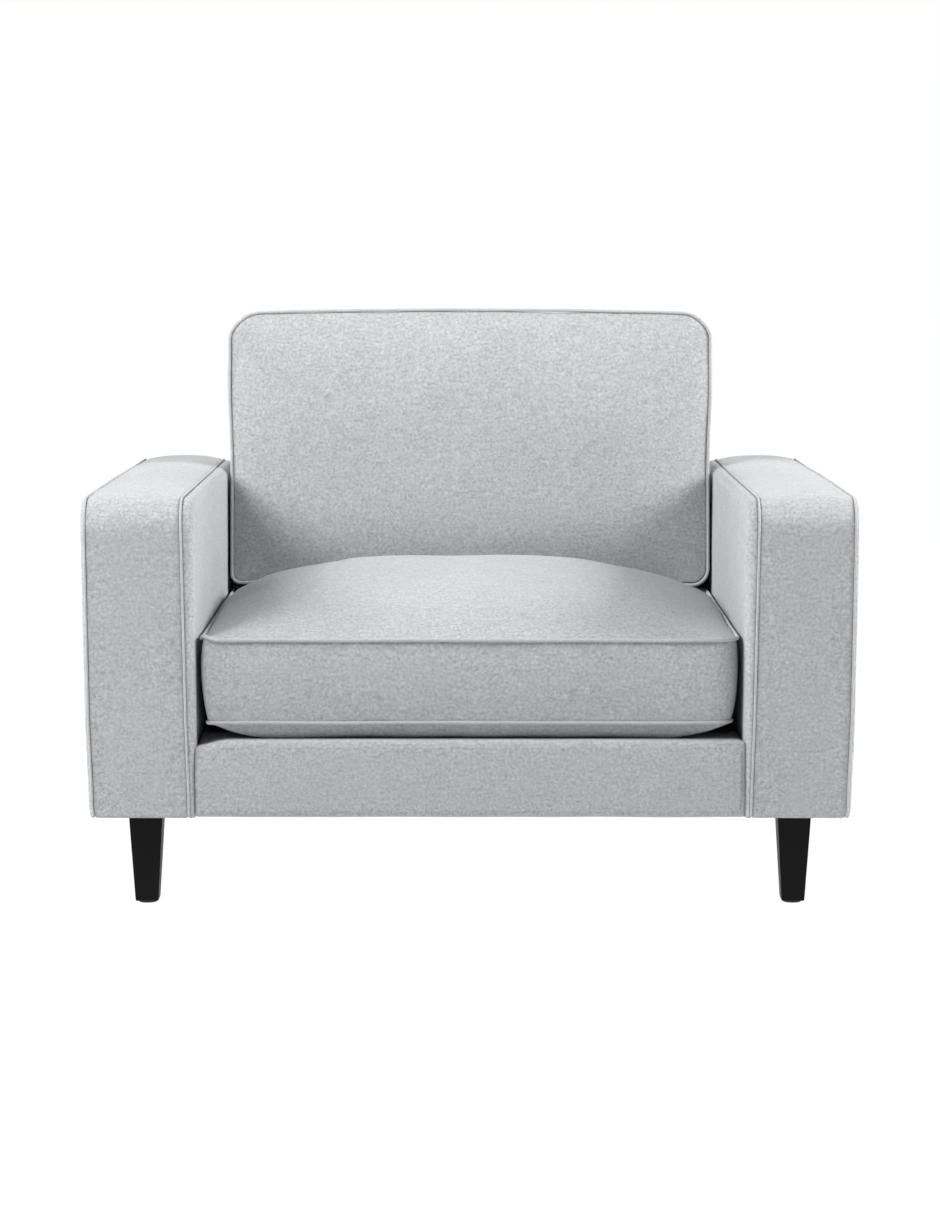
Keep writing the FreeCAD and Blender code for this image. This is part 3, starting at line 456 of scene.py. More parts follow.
@dataclass(frozen=True)
class Wood:
    """Sawn, layered or lacquered wood, with growth rings, pores and a worn finish."""

    name: str
    colour: tuple
    grain: Grain = Grain.ALONG_X
    contrast: float = 0.35
    rough: float = 0.6
    gloss: float = 0.4
    relief: float = 0.25 * MM

    def make(self) -> bpy.types.Material:
        """Builds the material.

        Returns:
            The material.
        """
        shade = Shade(self.name)
        figure = shade.cloud(6, 6.0, shade.stretch(self.grain.value), rough=0.6)
        pores = shade.cloud(60, 3.0, shade.stretch(self.grain.value), rough=0.7)
        tone = (figure * 0.65 + pores * 0.35 - 0.5) * (2 * self.contrast) + 0.5
        colour = shade.blend(tone, shaded(self.colour, 0.55), shaded(self.colour, 1.4))
        smear = shade.cloud(25, 4.0)
        return shade.finish(
            Base_Color=colour,
            Roughness=self.rough + (smear - 0.5) * 0.25,
            Normal=shade.raised(pores, self.relief),
            Specular_IOR_Level=self.gloss,
        )


@dataclass(frozen=True)
class Metal:
    """Drawn or plated metal, with fine scratches and dull patches."""

    name: str
    colour: tuple
    rough: float = 0.35
    metallic: float = 1.0

    def make(self) -> bpy.types.Material:
        """Builds the material.

        Returns:
            The material.
        """
        shade = Shade(self.name)
        dull = shade.cloud(90, 4.0)
        lines = shade.cloud(700, 2.0, shade.stretch((0.08, 1.0, 1.0)))
        colour = shade.blend(dull, shaded(self.colour, 0.75), shaded(self.colour, 1.2))
        return shade.finish(
            Base_Color=colour,
            Roughness=self.rough + (dull - 0.5) * 0.3 + (lines - 0.5) * 0.12,
            Metallic=self.metallic,
            Normal=shade.raised(lines, 0.05 * MM),
        )


GREY = (0.443, 0.448, 0.457)
FINISHES = (
    Cloth("cover_fabric", GREY),
    Cloth("piping_fabric", (0.485, 0.49, 0.5), pitch=1.2 * MM, fleck=0.2),
    Foam("foam", (0.78, 0.74, 0.58)),
    Wood("timber", (0.5, 0.36, 0.22)),
    Wood("plywood", (0.56, 0.42, 0.27), Grain.ALONG_Y),
    Wood("hardboard", (0.2, 0.13, 0.08), Grain.ALONG_Y, contrast=0.12, rough=0.7),
    Metal("spring_steel", (0.16, 0.16, 0.17), 0.42),
    Metal("zinc_steel", (0.6, 0.62, 0.64), 0.3),
    Cloth("webbing", (0.19, 0.15, 0.11), pitch=2.4 * MM, relief=0.6 * MM),
    Foam("felt", (0.24, 0.25, 0.27), 2.6 * MM),
    Cloth("deck_fabric", (0.17, 0.17, 0.175), pitch=1.2 * MM, fleck=0.06, sheen=0.05),
    Cloth("dust_fabric", (0.014, 0.014, 0.015), pitch=1.1 * MM, fleck=0.1, sheen=0.03),
    Cloth("zip_tape", (0.36, 0.36, 0.355), pitch=0.8 * MM, fleck=0.05, sheen=0.05),
    Metal("zip_metal", (0.55, 0.55, 0.56), 0.28),
    Wood("leg_wood", (0.0036, 0.0032, 0.003), Grain.ALONG_Z, 0.3, 0.5, 0.14, 0.08 * MM),
    Metal("glide_plastic", (0.03, 0.03, 0.031), 0.5, metallic=0.0),
)
PAINT = {finish.name: finish.make() for finish in FINISHES}


# --- lofted covers ------------------------------------------------------------------------


@dataclass(frozen=True)
class Outline:
    """Rounded rectangle that a cover is lofted round, with sides that match in pairs."""

    u: tuple[float, float]
    v: tuple[float, float]
    radii: tuple[float, float, float, float]
    across: int
    up: int
    arc: int = 4
    foot: float = 1.0

    def ring(self, inset: float) -> list[tuple[float, float]]:
        """Draws the outline, drawn in on every side.

        Args:
            inset: How far in, in metres.

        Returns:
            Points, anticlockwise from the middle of the first corner's arc.
        """
        u0, u1 = self.u[0] + inset, self.u[1] - inset
        v0, v1 = self.v[0] + inset * self.foot, self.v[1] - inset
        spots: list[tuple[float, float]] = []
        corners = ((u0, v0, 1, 1), (u1, v0, -1, 1), (u1, v1, -1, -1), (u0, v1, 1, -1))
        arcs = []
        for turn, ((u, v, du, dv), radius) in enumerate(zip(corners, self.radii)):
            radius = max(radius - inset, 1.5 * MM)
            middle = (u + du * radius, v + dv * radius)
            start = math.pi * (1 + turn / 2)
            steps = [start + math.pi / 4 * step / self.arc for step in range(2 * self.arc + 1)]
            arcs.append([(middle[0] + radius * math.cos(a), middle[1] + radius * math.sin(a)) for a in steps])
        for turn in range(4):
            here, after = arcs[turn][self.arc:], arcs[(turn + 1) % 4][: self.arc + 1]
            count = self.across if turn % 2 == 0 else self.up
            spots += here
            a, b = here[-1], after[0]
            for step in range(1, count):
                share = step / count
                spots.append((a[0] + (b[0] - a[0]) * share, a[1] + (b[1] - a[1]) * share))
            spots += after[:-1]
        return spots

    def count(self) -> int:
        """Counts the points of a ring."""
        return 2 * (self.across + self.up) + 8 * self.arc


@dataclass(frozen=True)
class Station:
    """One ring of a cover: how far in from the outline, and its level along the axis."""

    inset: float
    level: float | Height


def level_at(level: float | Height, u: float, v: float) -> float:
    """Reads a level that is a number or a function of the place."""
    return level(u, v) if callable(level) else level


def coons(ring: Sequence[tuple[float, float]], wide: int, tall: int) -> list[list[tuple[float, float]]]:
    """Fills a ring with a grid that follows its four sides.

    Args:
        ring: Points of the ring.
        wide: Segments of its first and third sides.
        tall: Segments of its second and fourth sides.

    Returns:
        Rows of points, the ring's own points among them.
    """
    low = list(ring[: wide + 1])
    right = list(ring[wide: wide + tall + 1])
    top = list(reversed(ring[wide + tall: 2 * wide + tall + 1]))
    left = [ring[0]] + list(reversed(ring[2 * wide + tall:]))
    run = [(p[0] - low[0][0]) / (low[-1][0] - low[0][0]) for p in low]
    rise = [(p[1] - left[0][1]) / (left[-1][1] - left[0][1]) for p in left]
    rows = []
    for j, t in enumerate(rise):
        row = []
        for i, s in enumerate(run):
            spot = tuple(
                (1 - t) * low[i][k] + t * top[i][k] + (1 - s) * left[j][k] + s * right[j][k]
                - (1 - s) * (1 - t) * low[0][k] - s * (1 - t) * low[-1][k]
                - (1 - s) * t * top[0][k] - s * t * top[-1][k]
                for k in range(2)
            )
            row.append(spot)
        rows.append(row)
    return rows


def finished(name: str, mesh: bpy.types.Mesh, slot: str, levels: int = 0) -> bpy.types.Object:
    """Makes a piece from a mesh and paints it.

    Args:
        name: Name of the piece.
        mesh: Its mesh, in place.
        slot: Finish that it takes.
        levels: Subdivision levels.

    Returns:
        The piece.
    """
    mesh.name = name
    piece = bpy.data.objects.new(name, mesh)
    bpy.context.scene.collection.objects.link(piece)
    mesh.materials.clear()
    mesh.materials.append(PAINT[slot])
    mesh.shade_smooth()
    if levels:
        subdivision = piece.modifiers.new("smooth", "SUBSURF")
        subdivision.levels = subdivision.render_levels = levels
    return piece


def loft(
    name: str, outline: Outline, stations: Sequence[Station], place: Place,
    low: Height | None = None, high: Height | None = None,
    slot: str = "cover_fabric", levels: int = 1, uneven: tuple[float, float, float] = (0.0, 1.0, 0.0),
) -> bpy.types.Object:
    """Lofts a cover through its stations, with a crowned panel at either end.

    Args:
        name: Name of the piece.
        outline: Outline of its stations.
        stations: Rings in order of rising level.
        place: Turns outline and level coordinates into a place.
        low: Level of the panel at the first station, or None to leave it open.
        high: Level of the panel at the last station, or None to leave it open.
        slot: Finish that it takes.
        levels: Subdivision levels.
        uneven: Depth, width and seed of its slow unevenness.

    Returns:
        The piece.
    """
    wide, tall, count = outline.across + 2 * outline.arc, outline.up + 2 * outline.arc, outline.count()
    spots: list[Vector] = []
    faces: list[tuple[int, ...]] = []
    rings = [outline.ring(station.inset) for station in stations]
    for ring, station in zip(rings, stations):
        spots += [place(u, v, level_at(station.level, u, v)) for u, v in ring]
    for row in range(len(stations) - 1):
        for i in range(count):
            a, b = row * count + i, row * count + (i + 1) % count
            faces.append((a, b, b + count, a + count))
    for first, panel, ring in ((0, low, rings[0]), ((len(stations) - 1) * count, high, rings[-1])):
        if panel is None:
            continue
        grid = coons(ring, wide, tall)
        index: dict[tuple[int, int], int] = {}
        for i in range(wide + 1):
            index[i, 0] = first + i
            index[i, tall] = first + 2 * wide + tall - i
        for j in range(1, tall):
            index[wide, j] = first + wide + j
            index[0, j] = first + count - j
        for j in range(1, tall):
            for i in range(1, wide):
                index[i, j] = len(spots)
                u, v = grid[j][i]
                spots.append(place(u, v, panel(u, v)))
        for j in range(tall):
            for i in range(wide):
                face = (index[i, j], index[i + 1, j], index[i + 1, j + 1], index[i, j + 1])
                faces.append(face if panel is high else face[::-1])
    u, v = sum(outline.u) / 2, sum(outline.v) / 2
    h, step = level_at(stations[0].level, u, v), MM
    middle = place(u, v, h)
    along = [place(u + step, v, h) - middle, place(u, v + step, h) - middle, place(u, v, h + step) - middle]
    if along[0].cross(along[1]).dot(along[2]) < 0:
        faces = [face[::-1] for face in faces]
    mesh = bpy.data.meshes.new(name)
    mesh.from_pydata(spots, [], faces)
    depth, size, seed = uneven
    if depth:
        normals = [vertex.normal.copy() for vertex in mesh.vertices]
        for vertex, normal in zip(mesh.vertices, normals):
            vertex.co += normal * (depth * drift(vertex.co, size, seed))
    return finished(name, mesh, slot, levels)


def fill_out(piece: bpy.types.Object, pins: Sequence[int], pressure: float, cap: float) -> None:
    """Lets a filled cover swell between its seams, and keeps the result.

    Args:
        piece: The cover.
        pins: Vertices on the seams, which stay put.
        pressure: Pressure of the filling.
        cap: Furthest that a point may move, in metres.
    """
    smoother = piece.modifiers[0]
    smoother.show_viewport = False
    group = piece.vertex_groups.new(name="seams")
    group.add(list(pins), 1.0, "REPLACE")
    cloth = piece.modifiers.new("filling", "CLOTH")
    settings = cloth.settings
    for key, value in FILLING.items():
        setattr(settings, key, value)
    settings.uniform_pressure_force = pressure
    settings.effector_weights.gravity = 0
    settings.vertex_group_mass = "seams"
    cloth.collision_settings.use_collision = False
    cloth.point_cache.frame_start, cloth.point_cache.frame_end = 1, FRAMES
    scene = bpy.context.scene
    for step in range(1, FRAMES + 1):
        scene.frame_set(step)
    grown = piece.evaluated_get(bpy.context.evaluated_depsgraph_get())
    spots = [vertex.co.copy() for vertex in grown.data.vertices]
    for vertex, spot in zip(piece.data.vertices, spots):
        moved = spot - vertex.co
        if moved.length > cap:
            moved *= cap / moved.length
        vertex.co += moved
    piece.modifiers.remove(cloth)
    piece.vertex_groups.clear()
    smoother.show_viewport = True
    scene.frame_set(1)


# --- cords, stitches and teeth ------------------------------------------------------------


def curve_of(lines: Sequence[Sequence[Vector]], closed: bool) -> bpy.types.Object:
    """Draws curves for a node tree to follow.

    Args:
        lines: Points of each curve.
        closed: Whether each curve closes on itself.

    Returns:
        The curve object.
    """
    data = bpy.data.curves.new("path", "CURVE")
    data.dimensions = "3D"
    for line in lines:
        spline = data.splines.new("POLY")
        spline.points.add(len(line) - 1)
        for point, spot in zip(spline.points, line):
            point.co = (*spot, 1.0)
        spline.use_cyclic_u = closed
    path = bpy.data.objects.new("path", data)
    bpy.context.scene.collection.objects.link(path)
    return path


class Tree:
    """Geometry node tree with named inputs."""

    def __init__(self, name: str, inputs: Sequence[tuple[str, str, object]]) -> None:
        """Starts the tree.

        Args:
            name: Name of the tree.
            inputs: Name, socket type and value of each input.
        """
        self.group = bpy.data.node_groups.new(name, "GeometryNodeTree")
        face = self.group.interface
        face.new_socket("Geometry", in_out="INPUT", socket_type="NodeSocketGeometry")
        for title, kind, value in inputs:
            made = face.new_socket(title, in_out="INPUT", socket_type=kind)
            if value is not None:
                made.default_value = value
        face.new_socket("Geometry", in_out="OUTPUT", socket_type="NodeSocketGeometry")
        self.start = self.group.nodes.new("NodeGroupInput")
        self.end = self.group.nodes.new("NodeGroupOutput")

    def add(
        self, kind: str, settings: dict | None = None, inputs: dict | None = None,
    ) -> bpy.types.bpy_prop_collection:
        """Adds a node.

        Args:
            kind: Type of the node.
            settings: Its settings.
            inputs: Values or outputs for its sockets, by name or place.

        Returns:
            The node's outputs.
        """
        made = self.group.nodes.new(kind)
        for key, value in (settings or {}).items():
            setattr(made, key, value)
        for key, value in (inputs or {}).items():
            if isinstance(value, bpy.types.NodeSocket):
                self.group.links.new(value, made.inputs[key])
            else:
                made.inputs[key].default_value = value
        return made.outputs

    def sum(self, operation: str, a: object, b: object) -> bpy.types.NodeSocket:
        """Adds one Math node.

        Args:
            operation: What it does.
            a: First value or output.
            b: Second value or output.

        Returns:
            Its output.
        """
        return self.add("ShaderNodeMath", {"operation": operation}, {0: a, 1: b})[0]

    def sweep(self, path: object, radius: object, sides: object) -> bpy.types.NodeSocket:
        """Sweeps a closed round bar along a path.

        Args:
            path: Curve output to follow.
            radius: Radius of the bar.
            sides: Sides of its section.

        Returns:
            The bar.
        """
        section = {"Resolution": sides, "Radius": radius}
        ring = self.add("GeometryNodeCurvePrimitiveCircle", {"mode": "RADIUS"}, section)
        inputs = {"Curve": path, "Profile Curve": ring[0], "Fill Caps": True}
        return self.add("GeometryNodeCurveToMesh", inputs=inputs)[0]

    def close(self, shape: bpy.types.NodeSocket) -> None:
        """Realizes the shape, paints it and sends it out.

        Args:
            shape: Geometry output to finish with.
        """
        real = self.add("GeometryNodeRealizeInstances", inputs={"Geometry": shape})
        smoothed = self.add("GeometryNodeSetShadeSmooth", inputs={"Geometry": real[0]})
        paint = {"Geometry": smoothed[0], "Material": self.start.outputs["Material"]}
        painted = self.add("GeometryNodeSetMaterial", inputs=paint)
        self.group.links.new(painted[0], self.end.inputs[0])

    def grow(self, name: str, path: bpy.types.Object, slot: str, **values: object) -> bpy.types.Object:
        """Runs the tree on a path and keeps the plain mesh.

        Args:
            name: Name of the piece.
            path: Curve that it follows, used up.
            slot: Finish that it takes.
            **values: Named inputs, with spaces for underscores.

        Returns:
            The piece.
        """
        values["Material"] = PAINT[slot]
        grower = path.modifiers.new("tree", "NODES")
        grower.node_group = self.group
        for item in self.group.interface.items_tree:
            if item.in_out == "INPUT" and item.name in values:
                grower[item.identifier] = values[item.name]
        ready = path.evaluated_get(bpy.context.evaluated_depsgraph_get())
        mesh = bpy.data.meshes.new_from_object(ready)
        bpy.data.objects.remove(path)
        return finished(name, mesh, slot)


def cord_tree() -> Tree:
    """Builds the tree that sweeps a round cord along a path.

    Returns:
        The tree.
    """
    tree = Tree("cord", (
        ("Radius", "NodeSocketFloat", 3 * MM), ("Sides", "NodeSocketInt", 10),
        ("Material", "NodeSocketMaterial", None),
    ))
    get = tree.start.outputs
    tree.close(tree.sweep(get["Geometry"], get["Radius"], get["Sides"]))
    return tree


def row_tree() -> Tree:
    """Builds the tree that sets small arched bars along a path: stitches, staples and teeth.

    Returns:
        The tree.
    """
    tree = Tree("row", (
        ("Spacing", "NodeSocketFloat", 8 * MM), ("Length", "NodeSocketFloat", 5 * MM),
        ("Rise", "NodeSocketFloat", 1 * MM), ("Radius", "NodeSocketFloat", 0.4 * MM),
        ("Up", "NodeSocketVector", (0, 0, 1)), ("Turn", "NodeSocketFloat", 0.0),
        ("Wobble", "NodeSocketFloat", 0.06), ("Seed", "NodeSocketInt", 7),
        ("Material", "NodeSocketMaterial", None),
    ))
    get = tree.start.outputs
    points = tree.add(
        "GeometryNodeCurveToPoints", {"mode": "LENGTH"}, {"Curve": get["Geometry"], "Length": get["Spacing"]},
    )
    first = tree.add("ShaderNodeCombineXYZ", inputs={"X": tree.sum("MULTIPLY", get["Length"], -0.5)})
    top = tree.add("ShaderNodeCombineXYZ", inputs={"Z": get["Rise"]})
    last = tree.add("ShaderNodeCombineXYZ", inputs={"X": tree.sum("MULTIPLY", get["Length"], 0.5)})
    arch = tree.add("GeometryNodeCurveQuadraticBezier", inputs={
        "Resolution": 4, "Start": first[0], "Middle": top[0], "End": last[0],
    })
    bar = tree.sweep(arch[0], get["Radius"], 5)
    turn = "FunctionNodeAlignRotationToVector"
    along = tree.add(turn, {"axis": "X"}, {"Vector": points["Tangent"]})
    facing = tree.add(turn, {"axis": "Z", "pivot_axis": "X"}, {"Rotation": along[0], "Vector": get["Up"]})
    low, high = (tree.sum(way, get["Turn"], get["Wobble"]) for way in ("SUBTRACT", "ADD"))
    swing = tree.add(
        "FunctionNodeRandomValue", {"data_type": "FLOAT"}, {2: low, 3: high, "Seed": get["Seed"]},
    )
    spin = tree.add("FunctionNodeAxisAngleToRotation", inputs={"Axis": (0, 0, 1), "Angle": swing[1]})
    turned = tree.add("FunctionNodeRotateRotation", {"rotation_space": "LOCAL"}, {0: facing[0], 1: spin[0]})
    placed = tree.add("GeometryNodeInstanceOnPoints", inputs={
        "Points": points[0], "Instance": bar, "Rotation": turned[0],
    })
    tree.close(placed[0])
    return tree


CORD = cord_tree()
ROW = row_tree()


def piping(name: str, lines: Sequence[Sequence[Vector]], radius: float) -> bpy.types.Object:
    """Makes covered cords that follow closed seams.

    Args:
        name: Name of the piece.
        lines: Points along each seam.
        radius: Radius of the cord.

    Returns:
        The piece.
    """
    return CORD.grow(name, curve_of(lines, True), "piping_fabric", Radius=radius, Sides=12)


def leaning(v: float, w: float) -> tuple[float, float]:
    """Turns leaning coordinates upright.

    Args:
        v: Place along the lean's normal, to the rear.
        w: Place up the lean.

    Returns:
        The y and z.
    """
    c, s = math.cos(RAKE), math.sin(RAKE)
    return LEAN_FOOT[0] + v * c + w * s, LEAN_FOOT[1] - v * s + w * c


def zip_teeth(name: str, y: float, z: float, up: tuple[float, float, float]) -> bpy.types.Object:
    """Sets a zip's teeth in a row across the chair.

    Args:
        name: Name of the piece.
        y: Place of the row.
        z: Height of the row.
        up: Way that the teeth face.

    Returns:
        The piece.
    """
    path = curve_of([[Vector((x, y, z)) for x in (-ZIP_HALF, ZIP_HALF)]], False)
    return ROW.grow(
        name, path, "zip_metal", Spacing=3 * MM, Length=4.4 * MM, Rise=0.5 * MM, Radius=0.55 * MM,
        Up=up, Turn=math.pi / 2, Wobble=0.0,
    )


def dressed(
    piece: bpy.types.Object, body: str, nodes: Sequence[str] = (),
) -> bpy.types.Object:
    """Rides a piece on its body and hides the CAD nodes that it replaces.

    Args:
        piece: The piece.
        body: Body that it moves with.
        nodes: CAD nodes that it replaces.

    Returns:
        The piece.
    """
    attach(piece, body)
    if nodes:
        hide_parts(*nodes)
    LOG.info("%s on %s", piece.name, body)
    return piece


# --- arms ---------------------------------------------------------------------------------


class Side(Enum):
    """Side of the chair, as someone looking at its front sees it."""

    LEFT = -1
    RIGHT = 1


@dataclass
class Arm:
    """One upholstered arm: inside cover, front-and-top band, outside cover and piping."""

    side: Side
    front: float = -0.4295
    rear: float = 0.415
    foot: float = 0.1288
    top: float = 0.5825
    roll: float = 0.045
    rear_roll: float = 0.016
    inner_face: float = 0.3887
    inner_seam: float = 0.4077
    outer_seam: float = 0.5432
    outer_face: float = 0.5486
    inner_turn: float = 0.015
    outer_turn: float = 0.0055
    tuck: float = 0.006
    groove: float = 0.0007
    cord: float = 0.0017
    crown: float = 0.0072
    front_crown: float = 0.0018
    rear_crown: float = 0.0015
    rear_lean: float = 0.0055

    inner_crown: float = 0.0011
    inner_edge: float = 0.12
    outer_crown: float = 0.0009
    outer_edge: float = 0.1

    REAR_LEAN_Y, REAR_LEAN_Z = (-0.1, 0.4), (0.2, 0.4)
    INNER_LEAN_END = (0.2, 0.35)
    BOARD_X, BOARD_Y, BOARD_Z = (0.5372, 0.5396), (-0.4135, 0.4085), (0.1408, 0.562)
    INNER_LEAN = ((0.13, -0.0088), (0.17, -0.0082), (0.273, -0.005), (0.583, 0.0))
    OUTER_LEAN = (
        (0.1288, -0.0104), (0.1315, -0.0093), (0.135, -0.0084), (0.141, -0.0074), (0.149, -0.007),
        (0.176, -0.0066), (0.247, -0.0038), (0.273, -0.003), (0.56, 0.0),
    )

    @property
    def title(self) -> str:
        """Gives the start of its pieces' names."""
        return f"{self.side.name.lower()}_arm"

    def outline(self, foot_share: float = 1.0) -> Outline:
        """Draws the arm from its side.

        Args:
            foot_share: Share of each inset that the underside takes.

        Returns:
            The outline.
        """
        radii = (0.004, 0.004, self.rear_roll, self.roll)
        return Outline((self.front, self.rear), (self.foot, self.top), radii, 84, 44, 5, foot_share)

    def place(self, y: float, z: float, x: float) -> Vector:
        """Leans the two faces of the arm in towards its foot.

        Args:
            y: Place along the arm.
            z: Height.
            x: Distance from the middle of the chair, as at the top.

        Returns:
            The place.
        """
        share = eased(x, (self.inner_seam, self.outer_seam))
        turn = eased(x, (self.inner_face, self.inner_seam))
        ahead = 1 - eased(y, self.INNER_LEAN_END)
        lean = between(self.INNER_LEAN, z) * turn * (1 - share) * ahead
        lean += between(self.OUTER_LEAN, z) * share
        lean -= self.rear_lean * eased(y, self.REAR_LEAN_Y) * eased(z, self.REAR_LEAN_Z) * share
        return Vector((self.side.value * (x + lean), y, z))

    def band_place(self, y: float, z: float, x: float) -> Vector:
        """Crowns the band between its seams, most on the top.

        Args:
            y: Place along the arm.
            z: Height.
            x: Distance from the middle of the chair.

        Returns:
            The place.
        """
        share = (x - self.inner_seam) / (self.outer_seam - self.inner_seam)
        crown = max(1 - abs(2 * share - 1) ** 2.6, 0.0)
        spot = self.place(y, z, x)
        over = smooth((z - self.top + self.roll) / self.roll)
        if z < self.foot + 0.003:
            return spot
        if y < self.front + self.roll:
            spot.y -= self.front_crown * crown * (1 - over)
        if y > self.rear - self.rear_roll:
            spot.y += self.rear_crown * crown
        spot.z += self.crown * crown * over * smooth((y - self.front) / (2 * self.roll))
        return spot

    def inside(self) -> bpy.types.Object:
        """Makes the inside cover, which turns round the front and top edges to its seam.

        Returns:
            The piece.
        """
        wide = self.inner_seam - self.inner_face
        stations = []
        for step in range(8):
            turn = math.pi / 2 * step / 7
            drop = self.groove * smooth((step - 5) / 2)
            inset = self.inner_turn * (1 - math.sin(turn)) + drop
            stations.append(Station(inset, self.inner_face + wide * (1 - math.cos(turn)) * 0.97))
        stations.append(Station(self.tuck, self.inner_seam))

        def face(y: float, z: float) -> float:
            """Crowns the cover between its edges."""
            edge = min(y - self.front, self.rear - y, self.top - z) - self.inner_turn
            return self.inner_face - self.inner_crown * smooth(edge / self.inner_edge)

        return loft(
            f"{self.title}_inside", self.outline(0.1), stations, self.place, low=face,
            uneven=(0.5 * MM, 0.11, 3.0 + self.side.value),
        )

    def band(self) -> bpy.types.Object:
        """Makes the band that runs up the front, over the roll, along the top and down the back.

        Returns:
            The piece.
        """
        a, b = self.inner_seam, self.outer_seam
        rows = 13
        stations = [
            Station(self.tuck, a), Station(self.groove, a + 1.5 * MM), Station(0.3 * MM, a + 3 * MM),
            *(Station(0.0, a + 6 * MM + (b - a - 12 * MM) * row / rows) for row in range(rows + 1)),
            Station(0.3 * MM, b - 3 * MM), Station(self.groove, b - 1.5 * MM), Station(self.tuck, b),
        ]
        return loft(
            f"{self.title}_band", self.outline(), stations, self.band_place,
            uneven=(0.6 * MM, 0.1, 7.0 + self.side.value),
        )

    def outside(self) -> bpy.types.Object:
        """Makes the outside cover.

        Returns:
            The piece.
        """
        wide = self.outer_face - self.outer_seam
        stations = [Station(self.tuck, self.outer_seam)]
        for step in range(6):
            turn = math.pi / 2 * step / 5
            drop = self.groove * smooth((2 - step) / 2)
            inset = self.outer_turn * (1 - math.cos(turn)) + drop
            stations.append(Station(inset, self.outer_seam + wide * math.sin(turn)))

        def face(y: float, z: float) -> float:
            """Crowns the cover between its edges."""
            edge = min(y - self.front, self.rear - y, self.top - z, z - self.foot) - self.outer_turn
            return self.outer_face + self.outer_crown * smooth(edge / self.outer_edge)

        return loft(
            f"{self.title}_outside", self.outline(0.4), stations, self.place, high=face,
            uneven=(0.6 * MM, 0.13, 11.0 + self.side.value),
        )

    def boards(self) -> bpy.types.Object:
        """Makes the thin hardboard under the outside cover, with eased edges.

        Returns:
            The piece.
        """
        outline = Outline(self.BOARD_Y, self.BOARD_Z, (4 * MM,) * 4, 8, 6, 2)
        (a, b), ease = self.BOARD_X, 0.6 * MM
        stations = [Station(ease, a), Station(0.0, a + ease), Station(0.0, b - ease), Station(ease, b)]

        def place(y: float, z: float, x: float) -> Vector:
            """Puts a point of the board in the frame."""
            return Vector((self.side.value * x, y, z))

        return loft(f"{self.title}_hardboard", outline, stations, place, low=lambda y, z: a,
                    high=lambda y, z: b, slot="hardboard", levels=0)

    def seams(self) -> bpy.types.Object:
        """Makes the cords in the inner and outer seams.

        Returns:
            The piece.
        """
        ring = [(y, max(z, self.foot + 2 * self.cord)) for y, z in self.outline().ring(-0.2 * MM)]
        lines = [[self.place(y, z, x) for y, z in ring] for x in (self.inner_seam, self.outer_seam)]
        return piping(f"{self.title}_cords", lines, self.cord)

    def build(self) -> None:
        """Builds and dresses the arm."""
        side = self.title
        dressed(self.boards(), "chair", ("arm_outer_panels",))
        dressed(self.inside(), "chair", (f"{side}_inner_cover", f"{side}_inner_pad"))
        dressed(self.band(), "chair", (f"{side}_wrap_cover", f"{side}_wrap_pad"))
        dressed(self.outside(), "chair", (f"{side}_outer_cover",))
        dressed(self.seams(), "chair", (f"{side}_piping",))


# --- seat base ----------------------------------------------------------------------------


